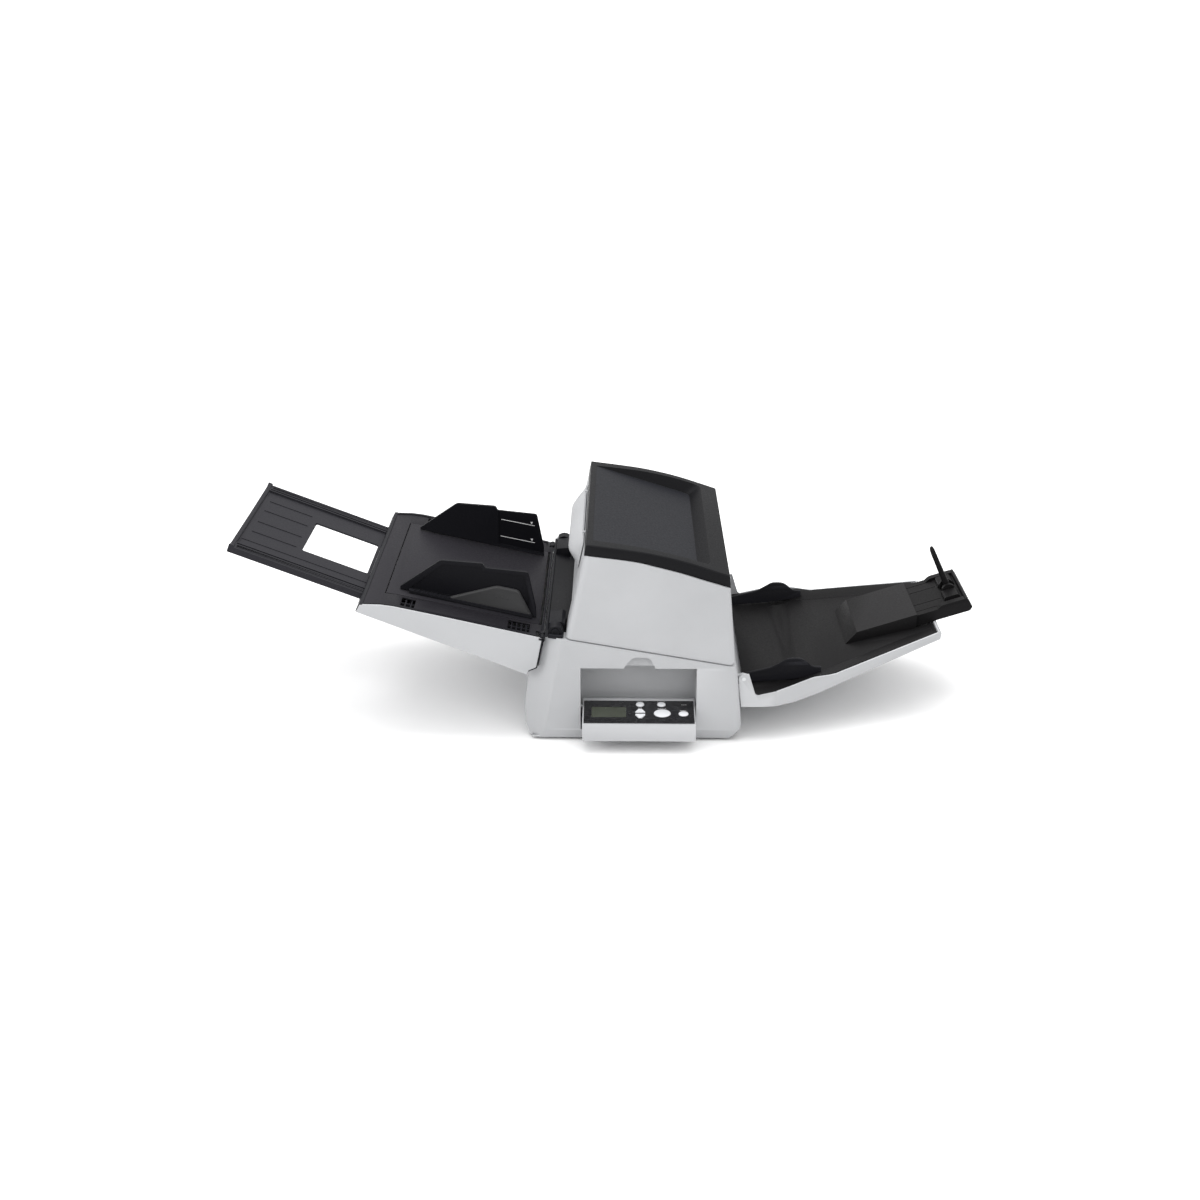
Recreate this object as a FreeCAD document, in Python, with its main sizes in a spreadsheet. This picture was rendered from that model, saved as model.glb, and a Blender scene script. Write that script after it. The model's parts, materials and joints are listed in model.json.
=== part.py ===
import FreeCAD, Part

import math
import os

import Sketcher
from FreeCAD import Rotation, Vector

# A sheet fed document scanner: sheets go from the hopper (-X), through the machine, to the stacker (+X).
# Millimetres, +Z up, -Y is the side with the near operator panel, the feet rest on Z = 0.
# Outlines are drawn about the machine's own centre line, and each sub-part's Placement then moves
# it by frame_shift, so that the middle of the whole object is at X = 0.

DIMENSIONS = {
    "frame_shift": 46.1,
    # base and cover
    "base_half": 228.0,
    "base_inner": 225.0,
    "guide_half": 196.0,
    "cover_half": 225.0,
    "cover_top_half": 218.0,
    "cover_inner": 214.0,
    "seam_height": 144.5,
    "seam_slope": 9.63,
    "seam_gap": 1.3,
    "wall": 3.0,
    # straight paper path
    "path_half": 160.0,
    "plate": 4.0,
    "roller": 12.0,
    "idler": 8.0,
    "pick_radius": 14.0,
    "shaft": 4.0,
    "bore": 4.05,
    "feed_at": -61.0,
    "exit_at": 71.0,
    "pick_at": -84.0,
    "frame_in": 168.0,
    "frame_out": 171.0,
    # trays
    "tray_half": 220.0,
    "tray_inner": 216.5,
    "table_half": 165.0,
    "hopper_slope": 12.66,
    "extension_half": 157.0,
    "extension_slope": 21.0,
    "guide_in": 137.0,
    "guide_out": 143.0,
    "stacker_taper": 0.404,
    "stacker_guide_in": 162.0,
    "stacker_guide_out": 168.0,
    "stacker_bar_half": 67.0,
    "stacker_bar_slope": 18.0,
    # operator panels
    "recess_wall": 180.0,
    "recess_low": 18.5,
    "recess_high": 118.0,
    "recess_front": -85.2,
    "recess_rear": 87.8,
    "panel_front": -82.0,
    "panel_rear": 86.0,
    "panel_slope": 8.0,
    # hinge axes
    "cover_pivot_x": 135.0,
    "cover_pivot_z": 132.2,
    "hopper_pivot_x": -142.5,
    "hopper_pivot_z": 159.5,
    "stacker_pivot_x": 158.3,
    "stacker_pivot_z": 97.8,
    "panel_pivot_y": 202.5,
    "panel_pivot_z": 45.5,
    "pin": 3.0,
    "pin_bore": 3.05,
}

NEAR, FAR = -1, 1
TYRE_WIDTH = 24
PLANES = {"XZ": ("XZ_Plane", -1), "YZ": ("YZ_Plane", 1), "XY": ("XY_Plane", 1)}

doc = FreeCAD.newDocument("DocumentScanner")
sheet = doc.addObject("Spreadsheet::Sheet", "Dims")
for row, (alias, size) in enumerate(DIMENSIONS.items(), start=1):
    sheet.set(f"A{row}", alias)
    sheet.set(f"B{row}", str(size))
    sheet.setAlias(f"B{row}", alias)
doc.recompute()

nodes = []


def number(term):
    """A term is a plain number, or a cell's name with an optional minus sign."""
    if isinstance(term, str):
        size = DIMENSIONS[term.lstrip("-")]
        return -size if term.startswith("-") else size
    return term


def formula(term):
    """The term as text for an expression."""
    if isinstance(term, str):
        return "-Dims." + term[1:] if term.startswith("-") else "Dims." + term
    return f"{term:.6f}"


def place(obj, x=0.0, y=0.0, z=0.0, axis=(0, 1, 0), turn=0.0):
    """Puts a sub-part in the row's frame: its own turn, its own place, and the frame's shift."""
    obj.Placement = FreeCAD.Placement(Vector(number(x), number(y), number(z)), Rotation(Vector(*axis), 1.0))
    obj.setExpression("Placement.Rotation.Angle", formula(turn))
    obj.setExpression("Placement.Base.x", f"Dims.frame_shift + {formula(x)}")
    obj.setExpression("Placement.Base.y", formula(y))
    obj.setExpression("Placement.Base.z", formula(z))


class Piece:
    """A PartDesign body that grows by straight pads and pockets between two levels of a plane."""

    def __init__(self, label, plane="XZ", is_node=True, **where):
        self.body = doc.addObject("PartDesign::Body", "Body_" + label)
        self.body.Label = label
        self.body.AllowCompound = True
        self.plane = plane
        place(self.body, **where)
        if is_node:
            nodes.append(self.body)

    def sketch(self, low, plane):
        role, sense = PLANES[plane or self.plane]
        sketch = self.body.newObject("Sketcher::SketchObject", "Sketch")
        origin = next(o for o in self.body.Origin.OriginFeatures if o.Role == role)
        sketch.AttachmentSupport = (origin, [""])
        sketch.MapMode = "FlatFace"
        sign = "" if sense > 0 else "-"
        sketch.setExpression("AttachmentOffset.Base.z", f"{sign}({formula(low)})")
        return sketch, sense

    def draw(self, sketch, outline):
        """Lines through the outline's points, each point held by its two coordinates."""
        count = len(outline)
        start = sketch.GeometryCount
        points = [Vector(number(a), number(b), 0) for a, b in outline]
        for n in range(count):
            sketch.addGeometry(Part.LineSegment(points[n], points[(n + 1) % count]), False)
        for n in range(count):
            line, after = start + n, start + (n + 1) % count
            sketch.addConstraint(Sketcher.Constraint("Coincident", line, 2, after, 1))
        for n, (a, b) in enumerate(outline):
            for kind, term in (("DistanceX", a), ("DistanceY", b)):
                rule = Sketcher.Constraint(kind, -1, 1, start + n, 1, number(term))
                index = sketch.addConstraint(rule)
                if isinstance(term, str):
                    sketch.setExpression(f"Constraints[{index}]", formula(term))

    def circle(self, sketch, a, b, radius):
        centre = Vector(number(a), number(b), 0)
        index = sketch.addGeometry(Part.Circle(centre, Vector(0, 0, 1), number(radius)), False)
        for kind, term in (("DistanceX", a), ("DistanceY", b)):
            rule = sketch.addConstraint(Sketcher.Constraint(kind, -1, 1, index, 3, number(term)))
            if isinstance(term, str):
                sketch.setExpression(f"Constraints[{rule}]", formula(term))
        rule = sketch.addConstraint(Sketcher.Constraint("Radius", index, number(radius)))
        if isinstance(radius, str):
            sketch.setExpression(f"Constraints[{rule}]", formula(radius))

    def grow(self, kind, low, high, outlines, polygons=(), circles=(), ellipses=(), plane=None):
        sketch, sense = self.sketch(low, plane)
        for outline in (*outlines, *polygons):
            self.draw(sketch, outline)
        for a, b, radius in circles:
            self.circle(sketch, a, b, radius)
        for a, b, wide, tall in ellipses:
            centre = Vector(a, b, 0)
            ends = centre + Vector(wide, 0, 0), centre + Vector(0, tall, 0)
            sketch.addGeometry(Part.Ellipse(*ends, centre), False)
        feature = self.body.newObject("PartDesign::" + kind, kind)
        feature.Profile = sketch
        feature.setExpression("Length", f"({formula(high)}) - ({formula(low)})")
        feature.Reversed = sense < 0 if kind == "Pad" else sense > 0
        return feature

    def add(self, low, high, *outlines, **shapes):
        self.grow("Pad", low, high, outlines, **shapes)
        return self

    def cut(self, low, high, *outlines, **shapes):
        """A pocket, which must take something away."""
        doc.recompute()
        before = self.body.Shape.Volume
        self.grow("Pocket", low, high, outlines, **shapes)
        doc.recompute()
        assert self.body.Shape.Volume < before - 1.0, self.body.Label
        return self


def box(a, b, c, d):
    """The outline of a rectangle from (a, b) to (c, d)."""
    return [(a, b), (c, b), (c, d), (a, d)]


def seam(x):
    """The height of the sloping seam between the base and the cover."""
    slope = math.tan(math.radians(DIMENSIONS["seam_slope"]))
    return DIMENSIONS["seam_height"] - slope * x


def on_path(along, up):
    """A point of the paper path's sloping frame, as (x, z) of the machine."""
    angle = math.radians(DIMENSIONS["seam_slope"])
    x = along * math.cos(angle) + up * math.sin(angle)
    return x, DIMENSIONS["seam_height"] - along * math.sin(angle) + up * math.cos(angle)


def inset(outline, distance):
    """The outline with every side moved inwards; its points go round clockwise or not."""
    area = sum(a[0] * b[1] - b[0] * a[1] for a, b in zip(outline, outline[1:] + outline[:1]))
    sense = 1 if area > 0 else -1
    moved = []
    for n, here in enumerate(outline):
        before, after = outline[n - 1], outline[(n + 1) % len(outline)]
        one = Vector(here[0] - before[0], here[1] - before[1], 0).normalize()
        two = Vector(after[0] - here[0], after[1] - here[1], 0).normalize()
        normal_one = Vector(-one.y, one.x, 0) * sense
        normal_two = Vector(-two.y, two.x, 0) * sense
        half = normal_one + normal_two
        step = half * (2 * distance / half.dot(half))
        moved.append((here[0] + step.x, here[1] + step.y))
    return moved


def arc(x, z, radius, first, last, steps):
    """Points on a circle, for a round corner."""
    turns = [math.radians(first + (last - first) * n / steps) for n in range(steps + 1)]
    return [(x + radius * math.cos(t), z + radius * math.sin(t)) for t in turns]


def spans(side, low, high):
    """A range of Y for one side of the machine, lowest first."""
    return (low, high) if side == FAR else (flip(high), flip(low))


def flip(term):
    if isinstance(term, str):
        return term[1:] if term.startswith("-") else "-" + term
    return -term


# ---------------------------------------------------------------------------------------------- base

BASE_OUTLINE = [
    (-138, 165.8), (-108, 162.8), (142.4, 120.3), (146, 119), (148, 114), (156.4, 25),
    (154.5, 17), (142.5, 4), (-162, 4), (-169, 20.5), (-170, 48), (-163, 107.4), (-148.4, 114),
]
PATH = {"z": "seam_height", "turn": "seam_slope"}


def base_shell():
    piece = Piece("base_shell")
    piece.add("-base_half", "base_half", BASE_OUTLINE)
    inner = inset(BASE_OUTLINE, DIMENSIONS["wall"])
    low = [(x, -5 if z < 10 else z) for x, z in inner]
    piece.cut("-base_inner", "base_inner", low)
    piece.cut("-guide_half", "guide_half", [(-134.8, 120), (142.5, 100), (142.5, 140), (-134.8, 185)])
    for side in (NEAR, FAR):
        piece.add(*spans(side, 177, 226), box(-88.2, 15.5, 90.8, 121))
        piece.add(*spans(side, 213, 226), box(-26, 118, 31, 139))
    for side in (NEAR, FAR):
        recess = box("recess_front", "recess_low", "recess_rear", "recess_high")
        piece.cut(*spans(side, "recess_wall", 230), recess)
        piece.cut(*spans(side, 216, 230), [(-23, 117), (28, 117), (17, 135.5), (-8, 135.5)])
        # lugs that hold the cover's, the hopper's and the stacker's pins
        piece.add(*spans(side, 199, 205), [(129, 118), (140.5, 116), (140.5, 138), (129, 138)])
        piece.cut(*spans(side, 203.5, 218.6), circles=[("hopper_pivot_x", "hopper_pivot_z", 5)])
        hopper_lug = [(-136, 148), (-136, 157), (-139.5, 163.5), (-145, 163.5), (-146.5, 157)]
        piece.add(*spans(side, 196.5, 202), hopper_lug)
        stacker_lug = [(145, 84), (156, 90), (163.5, 94), (163.5, 102), (157, 104), (145, 100)]
        piece.add(*spans(side, 208, 214), stacker_lug)
    # openings for the power inlet, the switch and the data port, and the slot for a security lock
    for low_y, high_y, low_z, high_z in (
        (107.5, 138.5, 21.5, 46.5), (84.5, 101.5, 23, 45), (62, 76, 27, 43), (-153.5, -146.5, 32, 35),
    ):
        piece.cut(low_y, high_y, box(148, low_z, 160, high_z))
    return piece


def bottom_chassis():
    """A folded steel floor with two upright side frames, which carry the rollers and the motor."""
    piece = Piece("bottom_chassis")
    piece.add(-223.5, 223.5, box(-158, 4, 140, 7))
    feed, out = on_path(DIMENSIONS["feed_at"], -11.4), on_path(DIMENSIONS["exit_at"], -11.4)
    upright = [(-115, 6), (128, 6), (128, seam(128) - 6), (-115, seam(-115) - 6)]
    for side in (NEAR, FAR):
        piece.add(*spans(side, "frame_in", "frame_out"), upright)
        piece.cut(*spans(side, 165, 174), circles=[(*feed, "bore"), (*out, "bore")])
    piece.add(96, 99, box(-22, 6, 32, 86))
    return piece


def rubber_feet():
    piece = Piece("rubber_feet", plane="XY")
    piece.add(0, "plate", circles=[(x, y, 12) for x in (-136, 122) for y in (-196, 196)])
    return piece


def guide_plate(label, low, high, front, rear, half, holes):
    """A path plate, drawn flat and tilted by its Placement, with an opening for each roller."""
    piece = Piece(label, plane="XY", **PATH)
    piece.add(low, high, box(front, -half, rear, half))
    piece.cut(low - 1, high + 1, *holes)
    return piece


def lower_guide_plate():
    tyres = [box(at - 14, y - 14, at + 14, y + 14) for at in (-61, 71) for y in (-90, -30, 30, 90)]
    window = box(-18.5, -156, 18.5, 156)
    belt_slot = box(-76, 160.3, 86, 167.7)
    piece = guide_plate("lower_guide_plate", -4.5, -0.5, -136, 142, 195.8, tyres + [window, belt_slot])
    # raised corners of the throat, in front of the cover
    for side in (NEAR, FAR):
        step = [(-136, -1), (-112.5, -1), (-112.5, 13), (-118, 15), (-136, 10)]
        piece.add(*spans(side, 142, 195), step, plane="XZ")
        ledge = [(-134.5, 0.3), (-112.5, 0.3), (-112.5, 5), (-134.5, 3)]
        piece.add(*spans(side, 194, 222), ledge, plane="XZ")
    return piece


def upper_guide_plate():
    holes = [box(at - 10, y - 14, at + 10, y + 14) for at in (-61, 71) for y in (-90, -30, 30, 90)]
    holes += [box(-18.5, -156, 18.5, 156), box(-99, -44, -71.5, 44)]
    piece = guide_plate("upper_guide_plate", 2.5, 6, -100.2, 122, 213.8, holes)
    for side in (NEAR, FAR):
        for at, up, inner, bore in (
            ("pick_at", 14.6, 50, "bore"), ("feed_at", 9, 118, 3), ("exit_at", 9, 118, 3),
        ):
            at = number(at)
            ear = [(at - 8, 5), (at + 8, 5), (at + 7, up + 7), (at - 7, up + 7)]
            piece.add(*spans(side, inner, inner + 4), ear, plane="XZ")
            piece.cut(*spans(side, inner - 2, inner + 6), circles=[(at, up, bore)], plane="XZ")
    return piece


def imaging_unit(label, low, high, neck_low, neck_high):
    piece = Piece(label, plane="XY", **PATH)
    piece.add(low, high, box(-24, -158, 24, 158))
    piece.add(neck_low, neck_high, box(-17, -155, 17, 155))
    return piece


def scan_glass(label, low, high):
    return Piece(label, plane="XY", **PATH).add(low, high, box(-18, -155.5, 18, 155.5))


def roller(prefix, at, up, radius, bands, reach, pulley):
    """A steel shaft along Y, with its belt pulley where it has one, and the tyres pressed on it."""
    shaft = Piece(prefix + "_shaft", **PATH)
    shaft.add(-reach, reach, circles=[(at, up, "shaft")])
    if pulley:
        shaft.add(161, 167, circles=[(at, up, 10)])
    rings = []
    for n, y in enumerate(bands):
        ring = doc.addObject("Part::Cylinder", f"{prefix}_outer_{n}")
        hole = doc.addObject("Part::Cylinder", f"{prefix}_hole_{n}")
        ring.setExpression("Radius", formula(radius))
        hole.setExpression("Radius", "Dims.shaft")
        for part in (ring, hole):
            part.Height = TYRE_WIDTH
            start = Vector(number(at), y + TYRE_WIDTH / 2, up)
            part.Placement = FreeCAD.Placement(start, Rotation(Vector(1, 0, 0), 90))
        tyre = doc.addObject("Part::Cut", f"{prefix}_ring_{n}")
        tyre.Base, tyre.Tool = ring, hole
        rings.append(tyre)
    group = doc.addObject("Part::Compound", prefix + "_group")
    group.Links = rings
    group.Label = prefix + "_tyres"
    place(group, **PATH)
    nodes.append(group)


def idler(label, at):
    piece = Piece(label, **PATH)
    piece.add(-124, 124, circles=[(at, 9, 2.75)])
    for y in (-90, -30, 30, 90):
        piece.add(y - 12, y + 12, circles=[(at, 9, "idler")])
    return piece


MOTOR = (5.0, 58.0)


def drive():
    motor = Piece("drive_motor").add(99, 152, circles=[(*MOTOR, 20)])
    motor.add(151, 167.5, circles=[(*MOTOR, "pin")])
    pulley = Piece("motor_pulley").add(161, 167, circles=[(*MOTOR, 10)])
    pulley.cut(160, 168, circles=[(*MOTOR, "pin_bore")])
    centres = [MOTOR, on_path(DIMENSIONS["exit_at"], -11.4), on_path(DIMENSIONS["feed_at"], -11.4)]
    corners = [Vector(x, 161.5, z) for x, z in centres]
    run = Part.Wire(Part.makePolygon(corners + corners[:1]))
    outer, inner = (Part.Face(run.makeOffset2D(reach)).extrude(Vector(0, 5, 0)) for reach in (12, 10.3))
    belt = doc.addObject("Part::Feature", "DriveBelt")
    belt.Shape = outer.cut(inner)
    belt.Label = "drive_belt"
    place(belt)
    nodes.append(belt)


def electronics():
    board = Piece("main_board", plane="XY").add(10, 11.6, box(-40, -150, 125, 90))
    for x, y, wide, deep, high in (
        (0, -110, 30, 30, 15), (60, -90, 50, 20, 22), (90, 10, 22, 60, 18), (-20, -40, 24, 24, 14),
    ):
        board.add(11, high, box(x, y, x + wide, y + deep))
    for x, y in ((-35, -145), (120, -145), (-35, 85), (120, 85)):
        board.add(7, 10.5, circles=[(x, y, 3)])
    supply = Piece("power_supply", plane="XY").add(7, 62, box(-142, -150, -58, 60))
    supply.cut(12, 70, box(-139, -147, -61, 57))
    supply.add(60, 62.5, box(-141, -149, -59, 59))
    inlet = Piece("power_inlet").add(108, 138, box(134, 22, 155, 46))
    inlet.cut(112, 134, box(141, 25.5, 160, 42.5))
    inlet.add(121, 125, box(140, 32.5, 151, 34.5))
    port = Piece("usb_port").add(62.5, 75.5, box(138, 27.5, 154.5, 42.5))
    port.cut(64.5, 73.5, box(142, 29.5, 160, 40.5))
    port.add(67, 71, box(141, 32, 151, 38))
    switch = Piece("power_switch", x=150.5, z=34, axis=(0, 1, 0), turn=-6.0)
    switch.add(86, 100, [(-4, -5), (5.5, -9), (4.6, 0), (5.5, 9), (-4, 5)])
    switch.add(85.2, 100.8, circles=[(0, 0, 2)])
    return switch


# --------------------------------------------------------------------------------------------- cover

TOP_ARCH = [(-76, 308), (-8, 299), (30, 292), (70, 282), (107, 270), (133.5, 261)]
BAND_EDGE = [(-79.6, 291.3), (-8.7, 282.2), (26.6, 274), (62, 264.7), (97.5, 253.5), (135, 242)]


def upper_shell():
    lift = DIMENSIONS["seam_gap"]
    pivot = (DIMENSIONS["cover_pivot_x"], DIMENSIONS["cover_pivot_z"])
    heel = arc(*pivot, 9.4, 0, -90, 3)
    outline = [(-107.3, seam(-107.3) + lift)] + BAND_EDGE + heel
    piece = Piece("upper_shell").add("-cover_half", "cover_half", outline)
    piece.cut(-218, 218, [(-103, 150), (-81, 240), (132.5, 232), (141.2, 128), (135, 110)])
    piece.cut("-cover_inner", "cover_inner", [(-82, 238), (-75, 320), (128, 320), (134, 230)])
    for side in (NEAR, FAR):
        wedge = [("cover_half", 175), (229, 175), (229, 320), ("cover_top_half", 320)]
        if side == NEAR:
            wedge = [(flip(y), z) for y, z in wedge]
        piece.cut(-150, 160, wedge, plane="YZ")
    # feed mouth in the front, exit slot in the rear
    piece.cut("-path_half", "path_half", [(-112, 150), (-95, 150), (-88, 200), (-112, 200)])
    piece.cut(-207, 207, [(137, 110), (150, 110), (150, 152), (137, 152)])
    for side in (NEAR, FAR):
        piece.add(*spans(side, 206, 219), circles=[("cover_pivot_x", "cover_pivot_z", 9.4)])
        piece.cut(*spans(side, 200, 217.5), circles=[("cover_pivot_x", "cover_pivot_z", "bore")])
        ear = [(-84.6, 286.5), (-84.6, 290.5), (-79.5, 291.2), (-77, 290), (-78, 284)]
        piece.add(*spans(side, 101, 106), ear)
        piece.cut(*spans(side, 100, 104.5), circles=[(-82, 288.4, 1.25)])
    return piece


def top_cover():
    """The black cover with a shallow tray, level at the front and deepest at the rear."""
    piece = Piece("top_cover").add(-217, 217, TOP_ARCH + BAND_EDGE[::-1])
    piece.add(-204, 204, [(40, 268), (102, 250), (112, 250), (112, 266), (60, 280)])
    piece.cut(-200, 200, [(-67, 307), (102, 253.5), (106.5, 255), (109, 280), (-60, 330)])
    piece.cut(-211, 211, [(-72, 284), (-69.5, 301), (-65, 303), (60, 263.8), (58, 255)])
    return piece


def release_handle():
    """The lever under the cover's nose: its lower edge is pulled out to open the cover."""
    outline = [
        (-82.3, 290), (-84.5, 290), (-106, 265), (-101, 254.6), (-92, 246), (-90.2, 247.2), (-98, 257),
        (-101, 265), (-86.5, 283), (-81.6, 285.5), (-81, 289),
    ]
    cheek = [(-82.5, 288), (-106, 265), (-101, 254.6), (-92, 246), (-90.9, 247)]
    piece = Piece("release_handle").add(-100, 100, outline)
    for side in (NEAR, FAR):
        piece.add(*spans(side, 97, 100), cheek)
        piece.add(*spans(side, 99, 104), circles=[(-82, 288.4, 1.2)])
    return piece


# -------------------------------------------------------------------------------------------- hopper

DECK_TOP = [(-409, 214), (-380, 213.2), (-362, 210.8), (-292, 195.4), (-144.3, 162.25)]
HOPPER_OUTLINE = [
    (-416, 203), (-410, 214.4), (-380, 213.6), (-362, 211.2), (-292, 195.9), (-140.2, 161.4),
    (-149.9, 114.8), (-163.6, 108.6), (-165.6, 104), (-201.5, 118.8),
]


def hopper_shell():
    piece = Piece("hopper_shell").add("-tray_half", "tray_half", HOPPER_OUTLINE)
    belly = [(-413, 203.5), (-421, 196), (-207, 112), (-180, 112)]
    piece.add(-163, 163, belly)
    piece.cut("-tray_inner", "tray_inner", [
        (-409, 206), (-409, 230), (-136, 190), (-136, 168), (-143.4, 161), (-152.4, 117.2),
        (-164.6, 111.7), (-166.6, 107.8), (-201, 122),
    ])
    channel = [(-425, 200.4), (-208, 115.4), (-175, 116), (-175, 160), (-405, 211.3), (-425, 214)]
    piece.cut(-158.5, 158.5, channel)
    for side in (NEAR, FAR):
        # the right end is open round the hinge lugs, which the bosses stand beside
        piece.cut(*spans(side, 194, 203), box(-156, 150, -135, 170))
        boss = [("hopper_pivot_x", "hopper_pivot_z", 4)]
        piece.add(*spans(side, 204, 218), circles=boss)
        piece.cut(*spans(side, 200, 213), circles=[("hopper_pivot_x", "hopper_pivot_z", "pin_bore")])
        piece.add(*spans(side, 204, 218), [(-146.5, 158.6), (-146.5, 146), (-143.6, 146), (-145, 157)])
    return piece


def below(points, drop):
    """The same line, lower down and back to front, to close a sheet's outline."""
    return [(x, z - drop) for x, z in points[::-1]]


def hopper_deck():
    piece = Piece("hopper_deck").add(-216.3, 216.3, DECK_TOP + below(DECK_TOP, 2.5))
    piece.cut(-166, 166, [(-379, 190), (-379, 230), (-138, 230), (-138, 140)])
    for side in (NEAR, FAR):
        piece.cut(*spans(side, 193, 218), box(-152, 150, -136, 170))
        for front, rear, inner, outer in ((-352, -332, 172, 206), (-194, -162, 172, 206)):
            piece.cut(*spans(side, inner, outer), box(front, 150, rear, 230))
        lug = [(-384, 211), (-384, 204), (-372, 204), (-370, 210.2)]
        piece.add(*spans(side, 166.6, 170.6), lug)
        piece.cut(*spans(side, 166, 171), circles=[(-377, 207.6, 2.05)])
    return piece


def lift_table():
    top = [(-377.5, 213.1), (-362, 210.8), (-292, 195.4), (-148.2, 163.13)]
    piece = Piece("lift_table").add("-table_half", "table_half", top + below(top, 2.5))
    lug = [(-377.5, 211), (-380, 209), (-380, 205), (-374, 205), (-370, 210)]
    for side in (NEAR, FAR):
        piece.add(*spans(side, 159, "table_half"), lug)
        piece.add(*spans(side, 164, 170.4), circles=[(-377, 207.6, 2)])
    return piece


EXTENSION = {"x": -417.0, "z": 209.3, "turn": "extension_slope"}


def hopper_extension():
    """A sliding chute with two rails, a lip at its outer end, and an open window."""
    piece = Piece("hopper_extension", plane="XY", **EXTENSION)
    piece.add(-5, -2, box(-205, -131, 30, 131))
    for side in (NEAR, FAR):
        rail = box(-205, 0, 30, 27) if side == FAR else box(-205, -27, 30, 0)
        moved = [(a, b + side * 130) for a, b in rail]
        piece.add(-9.8, 0, moved)
    piece.add(-9.8, 3, [(-208, -157), (-200, -157), (-200, 157), (-208, 157)])
    piece.cut(-8, 2, box(-108, -67, -2, 67))
    for y in (86, 39, -16, -63):
        piece.cut(-3, -1, box(-190, y - 0.8, -118, y + 0.8))
    for y in (-148, -139):
        piece.cut(-1, 1, box(-196, y - 1.2, 25, y + 1.2))
    return piece


def side_guide(side, label):
    """One sheet guide: a tall bevelled blade, its foot, and the sloping finger grip."""
    piece = Piece(label)
    blade = [
        (-359, 215), (-297, 257), (-233, 252), (-230, 245), (-165, 238), (-154, 181), (-154, 165.6),
        (-292, 196.6), (-359, 211.6),
    ]
    foot = [(-345, 212.4), (-345, 208.6), (-292, 196.6), (-160, 167), (-160, 171)]
    grip = [(-287, 198), (-213, 217), (-180, 210), (-162, 172), (-162, 168)]
    piece.add(*spans(side, "guide_in", "guide_out"), blade)
    piece.add(*spans(side, 142, 152), foot)
    piece.add(*spans(side, 142, 148), grip)
    return piece


# ------------------------------------------------------------------------------------------- stacker

STACKER_TOP = [(166, 105.6), (176, 71), (232, 83), (266, 91), (296, 90.5), (464.5, 133.2), (468, 131.2)]
STACKER_UNDER = [(466.5, 121.8), (391, 100.2), (330, 81.6), (270, 63.7), (235, 56.5), (186, 53.2), (155.4, 53)]
TAPER_START, TAPER_END = 208, 480


def tray_side(x, inset=0.0):
    """The tray's half width at x, which narrows towards its outer end."""
    return DIMENSIONS["tray_half"] - DIMENSIONS["stacker_taper"] * max(0.0, x - TAPER_START) - inset


def beyond_taper(side, inset=0.0):
    """The plan outline of what lies outside one side of the narrowing tray."""
    line = [(x, side * tray_side(x, inset)) for x in (TAPER_START, TAPER_END)]
    return line + [(TAPER_END, side * 230), (TAPER_START, side * 230)]


def stacker_wall(side):
    """The slanting side wall between the two plan lines of one side."""
    top = [(208, 77.8)] + STACKER_TOP[2:]
    under = STACKER_UNDER[:5] + [(208, 54.6)]
    wall = Piece("stacker_wall_" + ("near" if side == NEAR else "far"), is_node=False)
    wall.add(*spans(side, 100, "tray_half"), top + under)
    wall.cut(40, 140, beyond_taper(side), plane="XY")
    within = [(x, side * tray_side(x, 3.8)) for x in (200, TAPER_START, TAPER_END)]
    wall.cut(40, 140, within + [(TAPER_END, side * 90), (200, side * 90)], plane="XY")
    return wall.body


def stacker_shell():
    """The white tray: an ear at each hinge, a thin bottom, slanting side walls and an end wall."""
    pivot = (DIMENSIONS["stacker_pivot_x"], DIMENSIONS["stacker_pivot_z"])
    heel = arc(*pivot, 7.6, 180, 90, 3)
    piece = Piece("stacker_pan", is_node=False)
    piece.add("-tray_half", "tray_half", heel + STACKER_TOP + STACKER_UNDER)
    floor_line = [(140, 56), (186, 56.6), (235, 60), (270, 67.2), (330, 85.2), (391, 103.8), (463, 124.6)]
    piece.cut("-tray_inner", "tray_inner", floor_line + [(463, 200), (140, 160)])
    piece.cut(-68.5, 68.5, [(455, 128.4), (480, 136.5), (480, 150), (455, 150)])
    for side in (NEAR, FAR):
        piece.cut(*spans(side, 215, 222), circles=[("stacker_pivot_x", "stacker_pivot_z", "pin_bore")])
        piece.cut(40, 140, beyond_taper(side), plane="XY")
    shell = doc.addObject("Part::MultiFuse", "StackerShell")
    shell.Shapes = [piece.body, stacker_wall(NEAR), stacker_wall(FAR)]
    shell.Refine = True
    shell.Label = "stacker_shell"
    nodes.append(shell)


def stacker_deck():
    """The black bed, with a raised cover over the slot in which the extension slides."""
    top = [(162, 69), (238, 75.5), (296, 87), (462, 129.6)]
    piece = Piece("stacker_deck").add(-216.3, 216.3, top + below(top, 2.5))
    for side in (NEAR, FAR):
        piece.cut(40, 140, beyond_taper(side, 4.2), plane="XY")
    piece.add(-71.5, 71.5, [(326, 94), (344, 115), (436, 145.1), (436, 120.4), (326, 92.2)])
    piece.cut(-68.5, 68.5, [(346, 60), (346, 113.4), (480, 156.9), (480, 60)])
    for side in (NEAR, FAR):
        piece.add(*spans(side, 61, 71.5), [(380, 100.9), (455, 122.7), (455, 129.3), (380, 104.9)])
        piece.add(*spans(side, 150, 153), [(200, 71), (200, 57.8), (235, 60.4), (283, 71.4), (283, 83)])
    return piece


def stacker_guide(side, label):
    outline = [
        (163, 70.2), (163, 87.5), (218, 101), (236, 110.5), (254, 108.5), (265, 96.8), (279, 96.6),
        (279, 84.9), (238, 76.9),
    ]
    return Piece(label).add(*spans(side, "stacker_guide_in", "stacker_guide_out"), outline)


BAR = {"x": 450.0, "z": 137.5, "turn": "-stacker_bar_slope"}


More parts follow.
